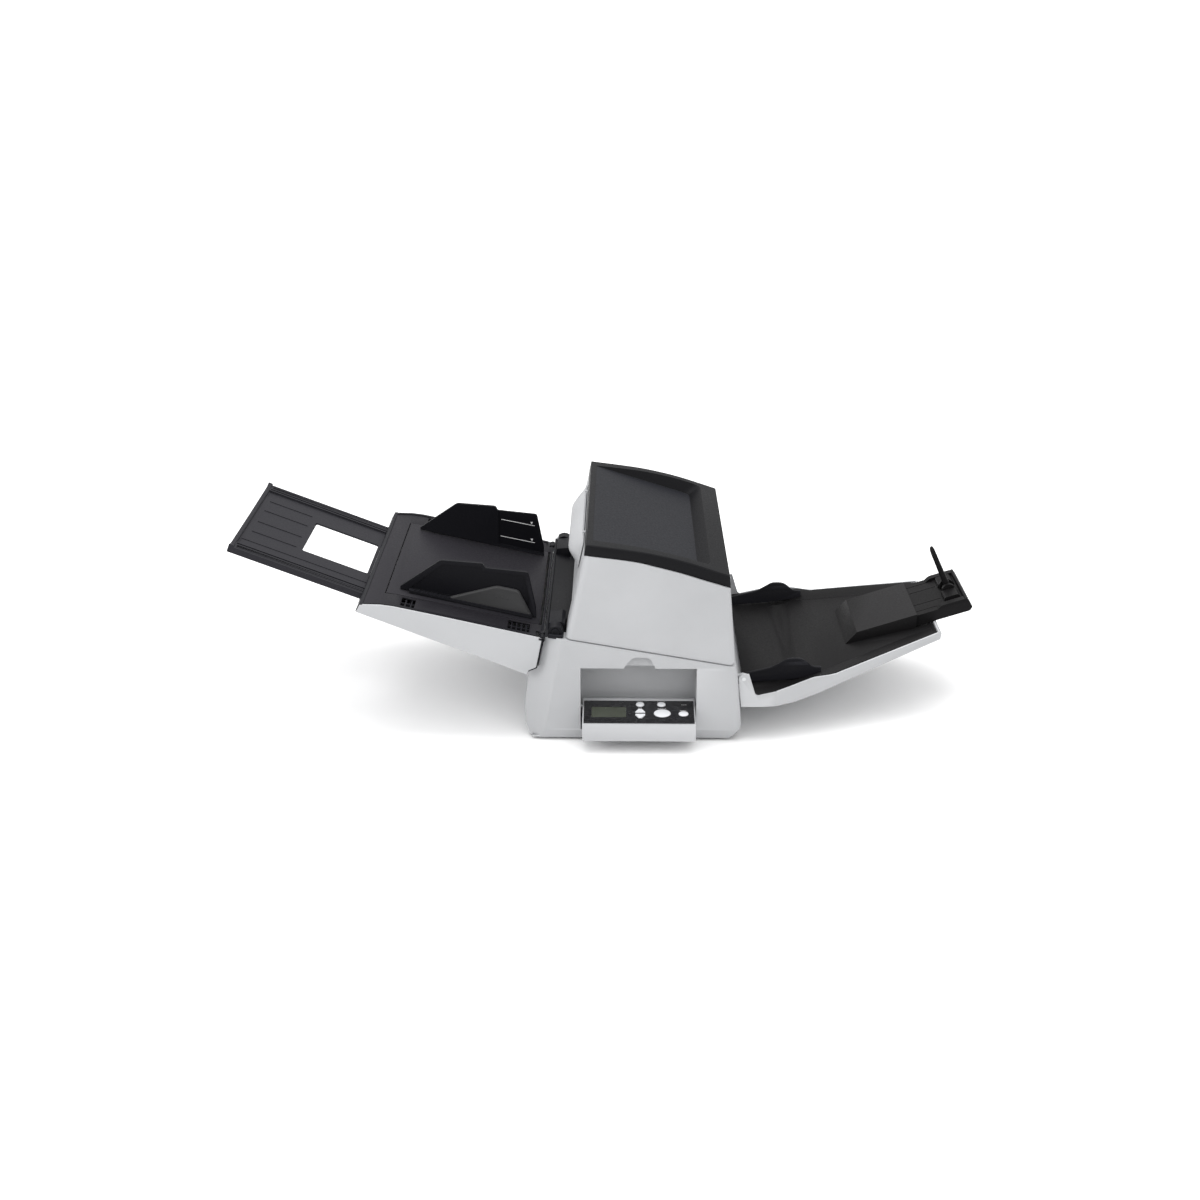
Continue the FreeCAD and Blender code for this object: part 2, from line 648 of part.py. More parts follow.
def stacker_extension():
    piece = Piece("stacker_extension", **BAR)
    bar = [(-75, -8.8), (70, -8.8), (75, -3.5), (73, 4), (66, 8), (-75, 8)]
    piece.add("-stacker_bar_half", "stacker_bar_half", bar)
    for side in (NEAR, FAR):
        lug = [(38, 7), (41, 18), (46, 22), (54, 22), (59, 18), (62, 7)]
        piece.add(*spans(side, 9, 15), lug)
        piece.add(*spans(side, 15, 42), [(40, 7), (43, 15), (58, 15), (62, 7)])
        piece.cut(*spans(side, 8, 13.4), circles=[(50, 16, 2.05)])
    piece.cut(-60, 60, box(-72, -11, 30, 2))
    return piece


def paper_stopper():
    """The finger that stops the sheets, on its own cross pin between the extension's lugs."""
    piece = Piece("paper_stopper", **BAR)
    finger = [(47.2, 16), (48, 13.6), (52, 13.6), (52.8, 16), (46.5, 80), (42.5, 86), (40.5, 80)]
    piece.add(-7.5, 7.5, finger)
    piece.add(-13.2, 13.2, circles=[(50, 16, 2)])
    return piece


# --------------------------------------------------------------------------------- operator panels

FACE_Y, FACE_Z = 240.0, 53.5
DISPLAY = (-68.7, -15.3, -17.0, 13.4)
KEYS = {
    "menu_button": ("ellipse", 3.9, 19.8, 6.2, 5.9),
    "function_button": ("ellipse", 35.8, 19.8, 6.2, 5.9),
    "scan_button": ("ellipse", 36.7, -4.5, 12.5, 10.4),
    "stop_button": ("ellipse", 68.2, -5.7, 7.3, 6.5),
    "up_button": ("outline", 3.9, -3.7, 7.3, 10.0),
    "down_button": ("outline", 3.9, -7.9, 7.3, -10.0),
}


def key_shape(side, name, slack):
    """The outline or ellipse of one key in the face's own frame, grown by slack."""
    kind, x, y, wide, tall = KEYS[name]
    centre = 2.0
    x = centre + (x - centre) * (-side)
    y = y * (-side)
    tall = tall * (-side) if kind == "outline" else tall
    if kind == "ellipse":
        return {"ellipses": [(x, y, wide + slack, tall + slack)]}
    lift = slack if tall > 0 else -slack
    points = [
        (x - wide - slack, y - lift), (x + wide + slack, y - lift), (x + wide + slack, y + 0.2 * tall),
        (x + 2.2 + slack, y + tall + lift), (x - 2.2 - slack, y + tall + lift),
        (x - wide - slack, y + 0.2 * tall),
    ]
    return {"polygons": [points]}


def face_frame(side):
    """The tilted plane of a panel's face; it rises towards the machine."""
    return {"y": side * FACE_Y, "z": FACE_Z, "axis": (1, 0, 0), "turn": -side * DIMENSIONS["panel_slope"]}


def operator_panel(side, where):
    pivot = (side * DIMENSIONS["panel_pivot_y"], DIMENSIONS["panel_pivot_z"])
    slope = math.radians(DIMENSIONS["panel_slope"])
    tilt = math.tan(slope)
    drop = 1.6

    def top(y):
        return FACE_Z + tilt * (FACE_Y - y) - drop / math.cos(slope)

    outline = [(272, 20), (272, top(272)), (209, top(209))]
    outline += [(y, z) for y, z in arc(abs(pivot[0]), pivot[1], 12.6, 60, 180, 4)]
    outline += arc(abs(pivot[0]), pivot[1], 25.5, 225, 270, 3)
    outline = [(side * y, z) for y, z in outline]
    case = Piece("panel_case_" + where, plane="YZ").add("panel_front", "panel_rear", outline)
    case.cut(-83, -74, circles=[(*pivot, "pin_bore")])
    case.cut(78, 87, circles=[(*pivot, "pin_bore")])
    face = Piece("panel_face_" + where, plane="XY", **face_frame(side)).add(-drop, 0, box(-80, -30, 84, 30.5))
    screen = [(2 + (a - 2) * (-side), b * (-side)) for a, b in box(*DISPLAY)]
    face.cut(-2, 1, screen)
    display = Piece("display_" + where, plane="XY", **face_frame(side))
    middle = Vector(sum(a for a, b in screen) / 4, sum(b for a, b in screen) / 4, 0)
    small = [(middle.x + (a - middle.x) * 0.994, middle.y + (b - middle.y) * 0.994) for a, b in screen]
    display.add(-drop, -0.4, small)
    wells = Piece("key_wells_" + where, plane="XY", is_node=False, **face_frame(side))
    for name in KEYS:
        face.cut(-2, 1, **key_shape(side, name, 0.4))
        wells.add(-5.0, 1, **key_shape(side, name, 0.4))
        key = Piece(f"{name}_{where}", plane="XY", **face_frame(side))
        key.add(-3.4, 1.2, **key_shape(side, name, 0.0))
    nodes.remove(case.body)
    case.body.Label = "case_block_" + where
    hollow = doc.addObject("Part::Cut", "CaseCut")
    hollow.Base, hollow.Tool = case.body, wells.body
    hollow.Label = "panel_case_" + where
    nodes.append(hollow)


def hinge_pins():
    """Every fixed pin of the base: cover, hopper, stacker and panels."""
    groups = []

    def pin(x, y, z, radius, length, along):
        cylinder = doc.addObject("Part::Cylinder", "Pin")
        cylinder.setExpression("Radius", "Dims." + radius)
        cylinder.Height = length
        cylinder.Placement = FreeCAD.Placement(Vector(x, y, z), Rotation(Vector(0, 0, 1), Vector(*along)))
        groups.append(cylinder)

    for side in (NEAR, FAR):
        for name, start, radius, length in (
            ("cover", 205, "shaft", 12), ("hopper", 202, "pin", 10.5), ("stacker", 214, "pin", 5.6),
        ):
            x, z = number(name + "_pivot_x"), number(name + "_pivot_z")
            pin(x, side * start, z, radius, length, (0, side, 0))
        y, z = side * number("panel_pivot_y"), number("panel_pivot_z")
        pin(number("recess_front"), y, z, "pin", 10, (1, 0, 0))
        pin(number("recess_rear"), y, z, "pin", 8.5, (-1, 0, 0))
    group = doc.addObject("Part::Compound", "HingePins")
    group.Links = groups
    group.Label = "hinge_pins"
    place(group)
    nodes.append(group)


def case_screws():
    piece = Piece("case_screws", plane="XY")
    spots = [(x, y, 3.5) for x in (-100, 0, 100) for y in (-205, 205)]
    piece.add(2, 4, circles=spots)
    return piece


def build():
    base_shell()
    bottom_chassis()
    rubber_feet()
    lower_guide_plate()
    imaging_unit("lower_imaging_unit", -50, -4.6, -4.7, -3.2)
    scan_glass("lower_scan_glass", -3.2, -0.7)
    roller("feed_roller", "feed_at", -11.4, "roller", (-90, -30, 30, 90), 174, True)
    roller("exit_roller", "exit_at", -11.4, "roller", (-90, -30, 30, 90), 174, True)
    drive()
    electronics()
    hinge_pins()
    case_screws()
    upper_shell()
    top_cover()
    upper_guide_plate()
    imaging_unit("upper_imaging_unit", 6.1, 50, 5.2, 6.2)
    scan_glass("upper_scan_glass", 2.7, 5.2)
    roller("pick_roller", "pick_at", 14.6, "pick_radius", (-26, 26), 56, False)
    idler("feed_idlers", "feed_at")
    idler("exit_idlers", "exit_at")
    release_handle()
    hopper_shell()
    hopper_deck()
    lift_table()
    hopper_extension()
    stacker_shell()
    stacker_deck()
    stacker_extension()
    paper_stopper()
    for side, where in ((NEAR, "near"), (FAR, "far")):
        side_guide(side, "side_guide_" + where)
        stacker_guide(side, "stacker_guide_" + where)
        operator_panel(side, where)


build()
doc.recompute()
failed = [o.Label for o in doc.Objects if {"Invalid", "Error"} & set(o.State)]
assert not failed, failed
os.makedirs("parts", exist_ok=True)
for node in nodes:
    assert not node.Shape.isNull() and node.Shape.isValid(), node.Label
    assert node.Shape.Solids, node.Label
    node.Shape.exportStep(f"parts/{node.Label}.step")
whole = Part.makeCompound([node.Shape for node in nodes]).BoundBox
print(len(nodes), "nodes", whole)
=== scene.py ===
import json
import math

import bmesh
import bpy
from mathutils import Matrix, Vector


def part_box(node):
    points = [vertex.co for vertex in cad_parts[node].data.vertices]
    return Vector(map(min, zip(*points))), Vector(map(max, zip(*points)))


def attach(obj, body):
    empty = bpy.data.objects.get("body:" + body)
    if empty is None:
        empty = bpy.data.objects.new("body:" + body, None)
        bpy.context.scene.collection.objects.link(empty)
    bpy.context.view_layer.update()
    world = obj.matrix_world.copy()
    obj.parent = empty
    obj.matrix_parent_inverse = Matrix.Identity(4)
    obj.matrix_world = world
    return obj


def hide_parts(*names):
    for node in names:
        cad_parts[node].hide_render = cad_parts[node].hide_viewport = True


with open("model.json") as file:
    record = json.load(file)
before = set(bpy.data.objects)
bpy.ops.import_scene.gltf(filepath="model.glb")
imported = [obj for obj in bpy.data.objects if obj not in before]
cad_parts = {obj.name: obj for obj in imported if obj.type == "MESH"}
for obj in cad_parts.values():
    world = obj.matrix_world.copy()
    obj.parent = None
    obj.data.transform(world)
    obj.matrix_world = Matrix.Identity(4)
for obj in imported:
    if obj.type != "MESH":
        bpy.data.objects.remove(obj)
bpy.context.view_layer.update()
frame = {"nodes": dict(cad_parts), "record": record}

# The finished look of a sheet fed document scanner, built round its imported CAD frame.
# Outlines are in millimetres about the machine's own centre line (x along the paper's travel, z up);
# SHIFT moves them into the frame, and every mesh is in metres.

NEAR, FAR = -1, 1
MM = 0.001
BASE_FRONT_MM = -170.0
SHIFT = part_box("base_shell")[0].x / MM - BASE_FRONT_MM
SEAM_HEIGHT, SEAM_SLOPE = 144.5, math.radians(9.63)


def place(x, y, z):
    """A point of the machine, in millimetres, as a point of the frame."""
    return Vector(((x + SHIFT) * MM, y * MM, z * MM))


def seam(x):
    """The height of the sloping seam between the base and the cover."""
    return SEAM_HEIGHT - math.tan(SEAM_SLOPE) * x


# ---- mesh tools


def add_object(name, data):
    """A new object in the scene."""
    obj = bpy.data.objects.new(name, data)
    bpy.context.scene.collection.objects.link(obj)
    return obj


def to_object(name, bm):
    """A new object in the scene from a bmesh, with outward normals."""
    bmesh.ops.recalc_face_normals(bm, faces=bm.faces)
    mesh = bpy.data.meshes.new(name)
    bm.to_mesh(mesh)
    bm.free()
    return add_object(name, mesh)


def loft(name, rings):
    """A closed solid through rings of equally many points, capped at both ends."""
    bm = bmesh.new()
    rows = [[bm.verts.new(p) for p in ring] for ring in rings]
    count = len(rows[0])
    for one, two in zip(rows, rows[1:]):
        for n in range(count):
            m = (n + 1) % count
            bm.faces.new((one[n], one[m], two[m], two[n]))
    bm.faces.new(rows[0][::-1])
    bm.faces.new(rows[-1])
    return to_object(name, bm)


def prism(name, outline, low, high):
    """A side outline (x, z) carried along y from low to high."""
    return loft(name, [[place(x, y, z) for x, z in outline] for y in (low, high)])


def within(matrix, a, b, c):
    """A point of a tilted frame, in millimetres, as a point of the whole frame."""
    return matrix @ Vector((a * MM, b * MM, c * MM))


def slab(name, outline, low, high, matrix):
    """An outline in the flat plane of a tilted frame, carried along its normal from low to high."""
    return loft(name, [[within(matrix, a, b, c) for a, b in outline] for c in (low, high)])


def tilted(x, y, z, axis, degrees):
    """The matrix of a tilted frame at a point of the machine."""
    return Matrix.Translation(place(x, y, z)) @ Matrix.Rotation(math.radians(degrees), 4, axis)


def rect(a, b, c, d):
    """A rectangle's outline between two opposite corners."""
    return [(a, b), (c, b), (c, d), (a, d)]


def ellipse(a, b, wide, tall, count=32):
    """An ellipse's outline about (a, b)."""
    turns = [2 * math.pi * n / count for n in range(count)]
    return [(a + wide * math.cos(t), b + tall * math.sin(t)) for t in turns]


def arc(x, z, radius, first, last, steps):
    """A part of a circle's outline, between two angles in degrees."""
    turns = [math.radians(first + (last - first) * n / steps) for n in range(steps + 1)]
    return [(x + radius * math.cos(t), z + radius * math.sin(t)) for t in turns]


def corner_curve(before, here, after, reach_in, reach_out, steps):
    """The short curve that replaces a corner, from reach_in before it to reach_out after it."""
    start = here + (before - here).normalized() * reach_in
    end = here + (after - here).normalized() * reach_out
    turns = [k / steps for k in range(steps + 1)]
    return [start * (1 - t) ** 2 + here * 2 * t * (1 - t) + end * t * t for t in turns]


def rounded(outline, radius, steps=4):
    """The outline with every corner turned into a short curve."""
    points = []
    for n, here in enumerate(outline):
        corner = Vector(here)
        before = Vector(outline[n - 1])
        after = Vector(outline[(n + 1) % len(outline)])
        reach_in = min(radius, (before - corner).length * 0.45)
        reach_out = min(radius, (after - corner).length * 0.45)
        points += [(p.x, p.y) for p in corner_curve(before, corner, after, reach_in, reach_out, steps)]
    return points


def smooth(points, steps=6):
    """A smooth line through the points (Catmull-Rom), for arches and flowing edges."""
    line = []
    for n in range(len(points) - 1):
        p1, p2 = Vector(points[n]), Vector(points[n + 1])
        p0 = Vector(points[n - 1]) if n else p1 * 2 - p2
        p3 = Vector(points[n + 2]) if n + 2 < len(points) else p2 * 2 - p1
        for k in range(steps):
            t = k / steps
            p = 0.5 * (
                2 * p1 + (p2 - p0) * t + (2 * p0 - 5 * p1 + 4 * p2 - p3) * t * t
                + (3 * p1 - p0 - 3 * p2 + p3) * t ** 3
            )
            line.append((p.x, p.y))
    return line + [tuple(points[-1])]


def bake(obj):
    """Applies the object's modifiers to its mesh."""
    graph = bpy.context.evaluated_depsgraph_get()
    graph.update()
    mesh = bpy.data.meshes.new_from_object(obj.evaluated_get(graph))
    old = obj.data
    obj.modifiers.clear()
    obj.data = mesh
    bpy.data.meshes.remove(old)
    return obj


def combine(obj, other, operation):
    """A boolean with another solid, which is used up."""
    step = obj.modifiers.new("Combine", "BOOLEAN")
    step.operation = operation
    step.solver = "EXACT"
    step.object = other
    bake(obj)
    bpy.data.objects.remove(other)
    return obj


def cut(obj, *tools):
    """Takes other solids away from this one."""
    for tool in tools:
        combine(obj, tool, "DIFFERENCE")
    return obj


def fuse(obj, *others):
    """Joins other solids to this one with a boolean."""
    for other in others:
        combine(obj, other, "UNION")
    return obj


def soften(obj, width=1.2, segments=3, angle=28):
    """Small moulding radii on every sharp edge, and smooth shading."""
    clean = obj.modifiers.new("Clean", "WELD")
    clean.merge_threshold = 0.00002
    round_edges = obj.modifiers.new("Edges", "BEVEL")
    round_edges.width = width * MM
    round_edges.segments = segments
    round_edges.limit_method = "ANGLE"
    round_edges.angle_limit = math.radians(angle)
    round_edges.use_clamp_overlap = True
    round_edges.harden_normals = True
    round_edges.miter_outer = "MITER_ARC"
    for face in obj.data.polygons:
        face.use_smooth = True
    return obj


def finish_piece(obj, body, material, slot_name, replaced=()):
    """Gives a finished piece its material and its body, and hides the CAD nodes that it stands for."""
    obj.data.materials.clear()
    obj.data.materials.append(material)
    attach(obj, body)
    if replaced:
        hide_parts(*replaced)
    return obj


# ---- materials


GRAIN_DEPTH = 0.00008


def fill(node, values):
    """Sets a node's own sockets by name."""
    for name, value in values.items():
        node.inputs[name].default_value = value


class Nodes:
    """A short way to write a node tree."""

    def __init__(self, name):
        self.material = bpy.data.materials.new(name)
        self.material.use_nodes = True
        self.tree = self.material.node_tree
        self.shader = self.tree.nodes["Principled BSDF"]
        self.where = self.add("ShaderNodeTexCoord").outputs["Object"]

    def add(self, kind, values=None, **settings):
        node = self.tree.nodes.new(kind)
        for key, setting in settings.items():
            setattr(node, key, setting)
        fill(node, values or {})
        return node

    def link(self, source, target):
        self.tree.links.new(source, target)

    def noise(self, scale, detail=4.0, roughness=0.55, stretch=None):
        node = self.add("ShaderNodeTexNoise", {"Scale": scale, "Detail": detail, "Roughness": roughness})
        source = self.where
        if stretch:
            mapping = self.add("ShaderNodeMapping", {"Scale": stretch})
            self.link(source, mapping.inputs["Vector"])
            source = mapping.outputs["Vector"]
        self.link(source, node.inputs["Vector"])
        return node.outputs["Fac"]

    def ramp(self, source, low, high, dark, light):
        values = {"From Min": low, "From Max": high, "To Min": dark, "To Max": light}
        node = self.add("ShaderNodeMapRange", values)
        self.link(source, node.inputs["Value"])
        return node.outputs["Result"]

    def blend(self, factor, one, two):
        node = self.add("ShaderNodeMix", data_type="RGBA")
        self.link(factor, node.inputs["Factor"])
        for socket, colour in ((node.inputs["A"], one), (node.inputs["B"], two)):
            if isinstance(colour, tuple):
                socket.default_value = (*colour, 1)
            else:
                self.link(colour, socket)
        return node.outputs["Result"]

    def colour(self, source):
        self.link(source, self.shader.inputs["Base Color"])

    def roughness(self, source):
        self.link(source, self.shader.inputs["Roughness"])

    def bump(self, source, strength, distance):
        node = self.add("ShaderNodeBump", {"Strength": strength, "Distance": distance})
        self.link(source, node.inputs["Height"])
        self.link(node.outputs["Normal"], self.shader.inputs["Normal"])

    def edge_highlight_mask(self):
        """A mask of the outer edges, where the colour is painted lighter as a highlight."""
        shape = self.add("ShaderNodeNewGeometry").outputs["Pointiness"]
        return self.ramp(shape, 0.52, 0.60, 0.0, 1.0)


def moulded(name, colour, roughness, grain=1800.0, specular=0.4, edge_highlight=1.15, uneven=0.05):
    """Injection moulded plastic: fine spark texture, slow changes of tone, and edges painted lighter as a
    highlight.
    """
    n = Nodes(name)
    dark = tuple(c * (1 - uneven) for c in colour)
    light = tuple(min(1.0, c * (1 + uneven)) for c in colour)
    tone = n.ramp(n.noise(7.0, 3.0), 0.3, 0.7, 0.0, 1.0)
    body = n.blend(tone, dark, light)
    speck = n.ramp(n.noise(grain * 0.6, 2.0), 0.60, 0.75, 0.0, 0.25)
    body = n.blend(speck, body, tuple(c * 0.82 for c in colour))
    # the outer edges are painted lighter than the body, as a highlight
    edge = tuple(min(1.0, c * edge_highlight + 0.004) for c in colour)
    n.colour(n.blend(n.edge_highlight_mask(), body, edge))
    n.roughness(n.ramp(n.noise(grain * 0.25, 3.0), 0.3, 0.7, roughness - 0.07, roughness + 0.07))
    fill(n.shader, {"Specular IOR Level": specular})
    n.bump(n.noise(grain, 2.0, 0.6), 0.35, GRAIN_DEPTH)
    return n.material


def gloss_black(name):
    """The operator panel's polished face, with faint wiping marks."""
    n = Nodes(name)
    wiped = n.ramp(n.noise(40.0, 4.0), 0.35, 0.7, 0.0, 1.0)
    n.colour(n.blend(wiped, (0.008, 0.008, 0.009), (0.014, 0.014, 0.016)))
    n.roughness(n.ramp(n.noise(60.0, 5.0, 0.6, (1, 3, 1)), 0.3, 0.75, 0.16, 0.34))
    fill(n.shader, {"Coat Weight": 0.25, "Coat Roughness": 0.12})
    n.bump(n.noise(500.0, 2.0), 0.05, 0.00003)
    return n.material


def display_window(name):
    """A dark olive liquid crystal window with a faint grid of dots."""
    n = Nodes(name)
    values = {
        "Scale": 1400.0, "Mortar Size": 0.012, "Mortar": (0.034, 0.038, 0.030, 1),
        "Color1": (0.052, 0.058, 0.044, 1), "Color2": (0.048, 0.053, 0.040, 1),
    }
    dots = n.add("ShaderNodeTexBrick", values, offset=0.0)
    n.link(n.where, dots.inputs["Vector"])
    cloud = n.ramp(n.noise(45.0, 2.0), 0.35, 0.65, 0.0, 0.35)
    n.colour(n.blend(cloud, dots.outputs["Color"], (0.066, 0.073, 0.056)))
    n.roughness(n.ramp(n.noise(80.0, 3.0), 0.3, 0.7, 0.18, 0.28))
    return n.material


def rubber(name, colour, rough=0.75):
    """Soft rubber with a dusty bloom."""
    n = Nodes(name)
    bloom = n.ramp(n.noise(220.0, 6.0, 0.65), 0.45, 0.7, 0.0, 1.0)
    n.colour(n.blend(bloom, colour, tuple(c * 1.5 + 0.02 for c in colour)))
    n.roughness(n.ramp(n.noise(900.0, 3.0), 0.3, 0.7, rough - 0.1, rough + 0.1))
    n.bump(n.noise(1400.0, 3.0), 0.5, 0.0001)
    return n.material


def steel(name, colour=(0.56, 0.57, 0.58)):
    """Zinc plated sheet steel, brushed along y."""
    n = Nodes(name)
    fill(n.shader, {"Metallic": 1.0})
    streak = n.noise(260.0, 6.0, 0.7, (6, 0.3, 6))
    n.colour(n.blend(n.ramp(streak, 0.3, 0.7, 0.0, 1.0), tuple(c * 0.85 for c in colour), colour))
    n.roughness(n.ramp(streak, 0.3, 0.7, 0.28, 0.45))
    n.bump(streak, 0.15, 0.00005)
    return n.material


def clear_glass(name):
    """The faintly green glass of a scan window."""
    n = Nodes(name)
    fill(n.shader, {"Transmission Weight": 0.9, "IOR": 1.5})
    tint = n.ramp(n.noise(30.0), 0.4, 0.6, 0.0, 1.0)
    n.colour(n.blend(tint, (0.80, 0.90, 0.88), (0.86, 0.93, 0.92)))
    n.roughness(n.ramp(n.noise(90.0, 4.0), 0.35, 0.7, 0.02, 0.10))
    return n.material


def circuit_board(name):
    """Green solder mask over copper tracks."""
    n = Nodes(name)
    tracks = n.add("ShaderNodeTexVoronoi", {"Scale": 260.0}, feature="DISTANCE_TO_EDGE")
    n.link(n.where, tracks.inputs["Vector"])
    between_tracks = n.ramp(tracks.outputs["Distance"], 0.02, 0.06, 0.0, 1.0)
    n.colour(n.blend(between_tracks, (0.06, 0.30, 0.14), (0.015, 0.12, 0.05)))
    n.roughness(n.ramp(n.noise(300.0), 0.3, 0.7, 0.3, 0.45))
    n.bump(tracks.outputs["Distance"], 0.3, 0.0001)
    return n.material


# the plastics: colour, roughness, grain, specular level and how much lighter the edges are painted, as a
# highlight
PLASTICS = {
    "shell_plastic": ((0.365, 0.37, 0.38), 0.50, 1800.0, 0.4, 1.15),
    "cover_plastic": ((0.0075, 0.0075, 0.0085), 0.46, 1500.0, 0.07, 1.5),
    "tray_floor": ((0.0135, 0.014, 0.017), 0.5, 1300.0, 0.08, 1.2),
    "tray_plastic": ((0.0135, 0.0128, 0.0155), 0.5, 1600.0, 0.07, 1.5),
    "chute_plastic": ((0.0088, 0.0086, 0.0105), 0.46, 1500.0, 0.06, 1.9),
    "bed_plastic": ((0.0065, 0.0062, 0.0066), 0.45, 1500.0, 0.06, 1.8),
    "guide_plastic": ((0.0055, 0.0055, 0.007), 0.42, 2000.0, 0.07, 2.2),
    "grip_plastic": ((0.040, 0.040, 0.041), 0.45, 1800.0, 0.12, 1.3),
}
plastics = {name: moulded(name, *look) for name, look in PLASTICS.items()}
panel_gloss = gloss_black("panel_gloss")
display_glass = display_window("display_glass")
# the key caps' edges are painted a little lighter, as a highlight
key_plastic = moulded("key_plastic", (0.66, 0.67, 0.69), 0.38, grain=2400.0, edge_highlight=1.05, uneven=0.03)
mark_paint = moulded("mark_paint", (0.60, 0.60, 0.60), 0.5, uneven=0.06)
roller_rubber = rubber("roller_rubber", (0.10, 0.10, 0.11))
foot_rubber = rubber("foot_rubber", (0.015, 0.015, 0.016))
plated_steel = steel("plated_steel")
acetal = moulded("acetal", (0.68, 0.68, 0.66), 0.35)
housing_plastic = moulded("housing_plastic", (0.02, 0.02, 0.021), 0.5)
grey_paint = moulded("grey_paint", (0.30, 0.30, 0.31), 0.45)
scan_window = clear_glass("scan_window")
board_mask = circuit_board("board_mask")

SLOT_MATERIALS = {
    "shell": plastics["shell_plastic"], "black_cover": plastics["cover_plastic"],
    "black_trays": plastics["tray_plastic"], "black_guides": plastics["guide_plastic"],
    "panel_face": panel_gloss, "display": display_glass, "keys": key_plastic, "steel": plated_steel,
    "feed_rubber": roller_rubber, "foot_rubber": foot_rubber, "idler_plastic": acetal,
    "sensor_housing": housing_plastic, "scan_glass": scan_window, "circuit_board": board_mask,
    "supply_case": grey_paint,
}
# the stacker's deck is a shade darker than the hopper's
NODE_MATERIALS = {"stacker_deck": plastics["bed_plastic"]}
# the finishes that pieces share: material and slot
SHELL = (plastics["shell_plastic"], "shell")
BED = (plastics["bed_plastic"], "black_trays")
GUIDE = (plastics["guide_plastic"], "black_guides")
MOULDED_SLOTS = ("shell", "black_cover", "black_trays", "black_guides")


def dress_cad_nodes():
    """Every CAD node gets its slot's material; mouldings get small radii on their edges too."""
    for part in frame["record"]["subparts"]:
        node = frame["nodes"][part["node"]]
        node.data.materials.clear()
        material = NODE_MATERIALS.get(part["node"], SLOT_MATERIALS[part["material_slot"]])
        node.data.materials.append(material)
        if part["material_slot"] in MOULDED_SLOTS:
            soften(node, 0.8, 2)


dress_cad_nodes()

# ---- shared shape tools

CORNER_STEPS = 6
# how far a cutter reaches to both sides, well past the machine
CLEAR = 300


def merge(obj, *others):
    """Adds other solids to the same mesh, without a boolean."""
    bm = bmesh.new()
    for each in (obj, *others):
        bm.from_mesh(each.data)
    bm.to_mesh(obj.data)
    bm.free()
    for each in others:
        bpy.data.objects.remove(each)
    return obj


def joined(name, parts):
    """One named piece from several solids."""
    obj = merge(*parts)
    obj.name = name
    return obj


def curved(corners):
    """A plan outline from corners (x, y, radius), each turned into a short curve."""
    points = []
    for n, (x, y, radius) in enumerate(corners):
        before = Vector(corners[n - 1][:2])
        after = Vector(corners[(n + 1) % len(corners)][:2])
        points += corner_curve(before, Vector((x, y)), after, radius, radius, CORNER_STEPS)
    return points


def ring_at(z, corners):
    """One level of an upright shell with curved corners."""
    return [place(p.x, p.y, z) for p in curved(corners)]


def level(table, z):
    """A value that changes evenly between the levels of a table of (z, value)."""
    for (low, one), (high, two) in zip(table, table[1:]):
        if z <= high:
            return one + (two - one) * (z - low) / (high - low)
    return table[-1][1]


def raised(outline, rise):
    """The same side outline, higher or lower."""
    return [(x, z + rise) for x, z in outline]


def both_sides(low, high):
    """The two y ranges that lie low to high from the centre line."""
    return ((-high, -low), (low, high))


def pair(name, outline, inner, outer, shape=prism):
    """The same outline carried along y at both sides, inner to outer from the centre line."""
    return [shape(name, outline, low, high) for low, high in both_sides(inner, outer)]


def through(outline, half):
    """A side outline carried along y to the same distance on both sides."""
    return prism("through", outline, -half, half)


def across(side, low, high):
    """The y range that lies low to high from the centre line, on one side."""
    return sorted((side * low, side * high))


def rod(name, x, z, radius, low, high, count=28):
    """A round bar along y."""
    return prism(name, ellipse(x, z, radius, radius, count), low, high)


# ---- base

BASE_FRONT = [(4, -162), (20.5, -169), (48, -170), (107.4, -163), (114, -148.4), (165.8, -138), (190, -133)]
BASE_REAR = [(4, 142.5), (17, 154.5), (25, 156.4), (114, 148), (119, 146), (190, 139)]
BASE_LEVELS = (4, 17, 20.5, 25, 48, 107.4, 114, 119, 165.8, 190)
BASE_FOOT = 4
BASE_HALF, BASE_FOOT_HALF = 228.0, 225.0
BASE_WALL = 3.0
CAVITY_FLOOR = -5
# the end walls lean, so they are a little thicker along x
LEANING_WALL = 1.05
# the plane of the facet at each front corner, as a point on it and its direction
FACET_POINT, FACET_NORMAL = (-115, 228, 155), Vector((-0.5957, 0.7959, 0.1075))
# the base's top edge, and what lies above it
BASE_TOP = [(-180, 174), (-138, 165.8), (-108, 162.8), (142.4, 120.3), (160, 117.3)]
BASE_ABOVE = [(160, 230), (-180, 230)]
BASE_MOUTH = [(-134.8, 120), (142.5, 100), (142.5, 140), (-134.8, 185)]
PANEL_RECESS = [(-85.2, 18.5), (-85.2, 118), (87.8, 118), (87.8, 18.5)]
THUMB_NOTCH = [(-23, 116), (28, 116), (17, 135.5), (-8, 135.5)]
# openings in the rear wall: power inlet, switch, data port and lock slot, as y and z ranges
REAR_SOCKETS = (
    (107.5, 138.5, 21.5, 46.5), (84.5, 101.5, 23, 45), (62, 76, 27, 43), (-153.5, -146.5, 32, 35),
)
VENT_ROWS, VENT_PITCH, VENT_LOWEST, VENT_HEIGHT = 6, 6, 66, 2.6
COVER_LUG = [(129, 118), (140.5, 116), (140.5, 138), (129, 138)]
HOPPER_LUG = [(-136, 148), (-136, 157), (-139.5, 163.5), (-145, 163.5), (-146.5, 157)]
STACKER_LUG = [(145, 84), (156, 90), (163.5, 94), (163.5, 102), (157, 104), (145, 100)]


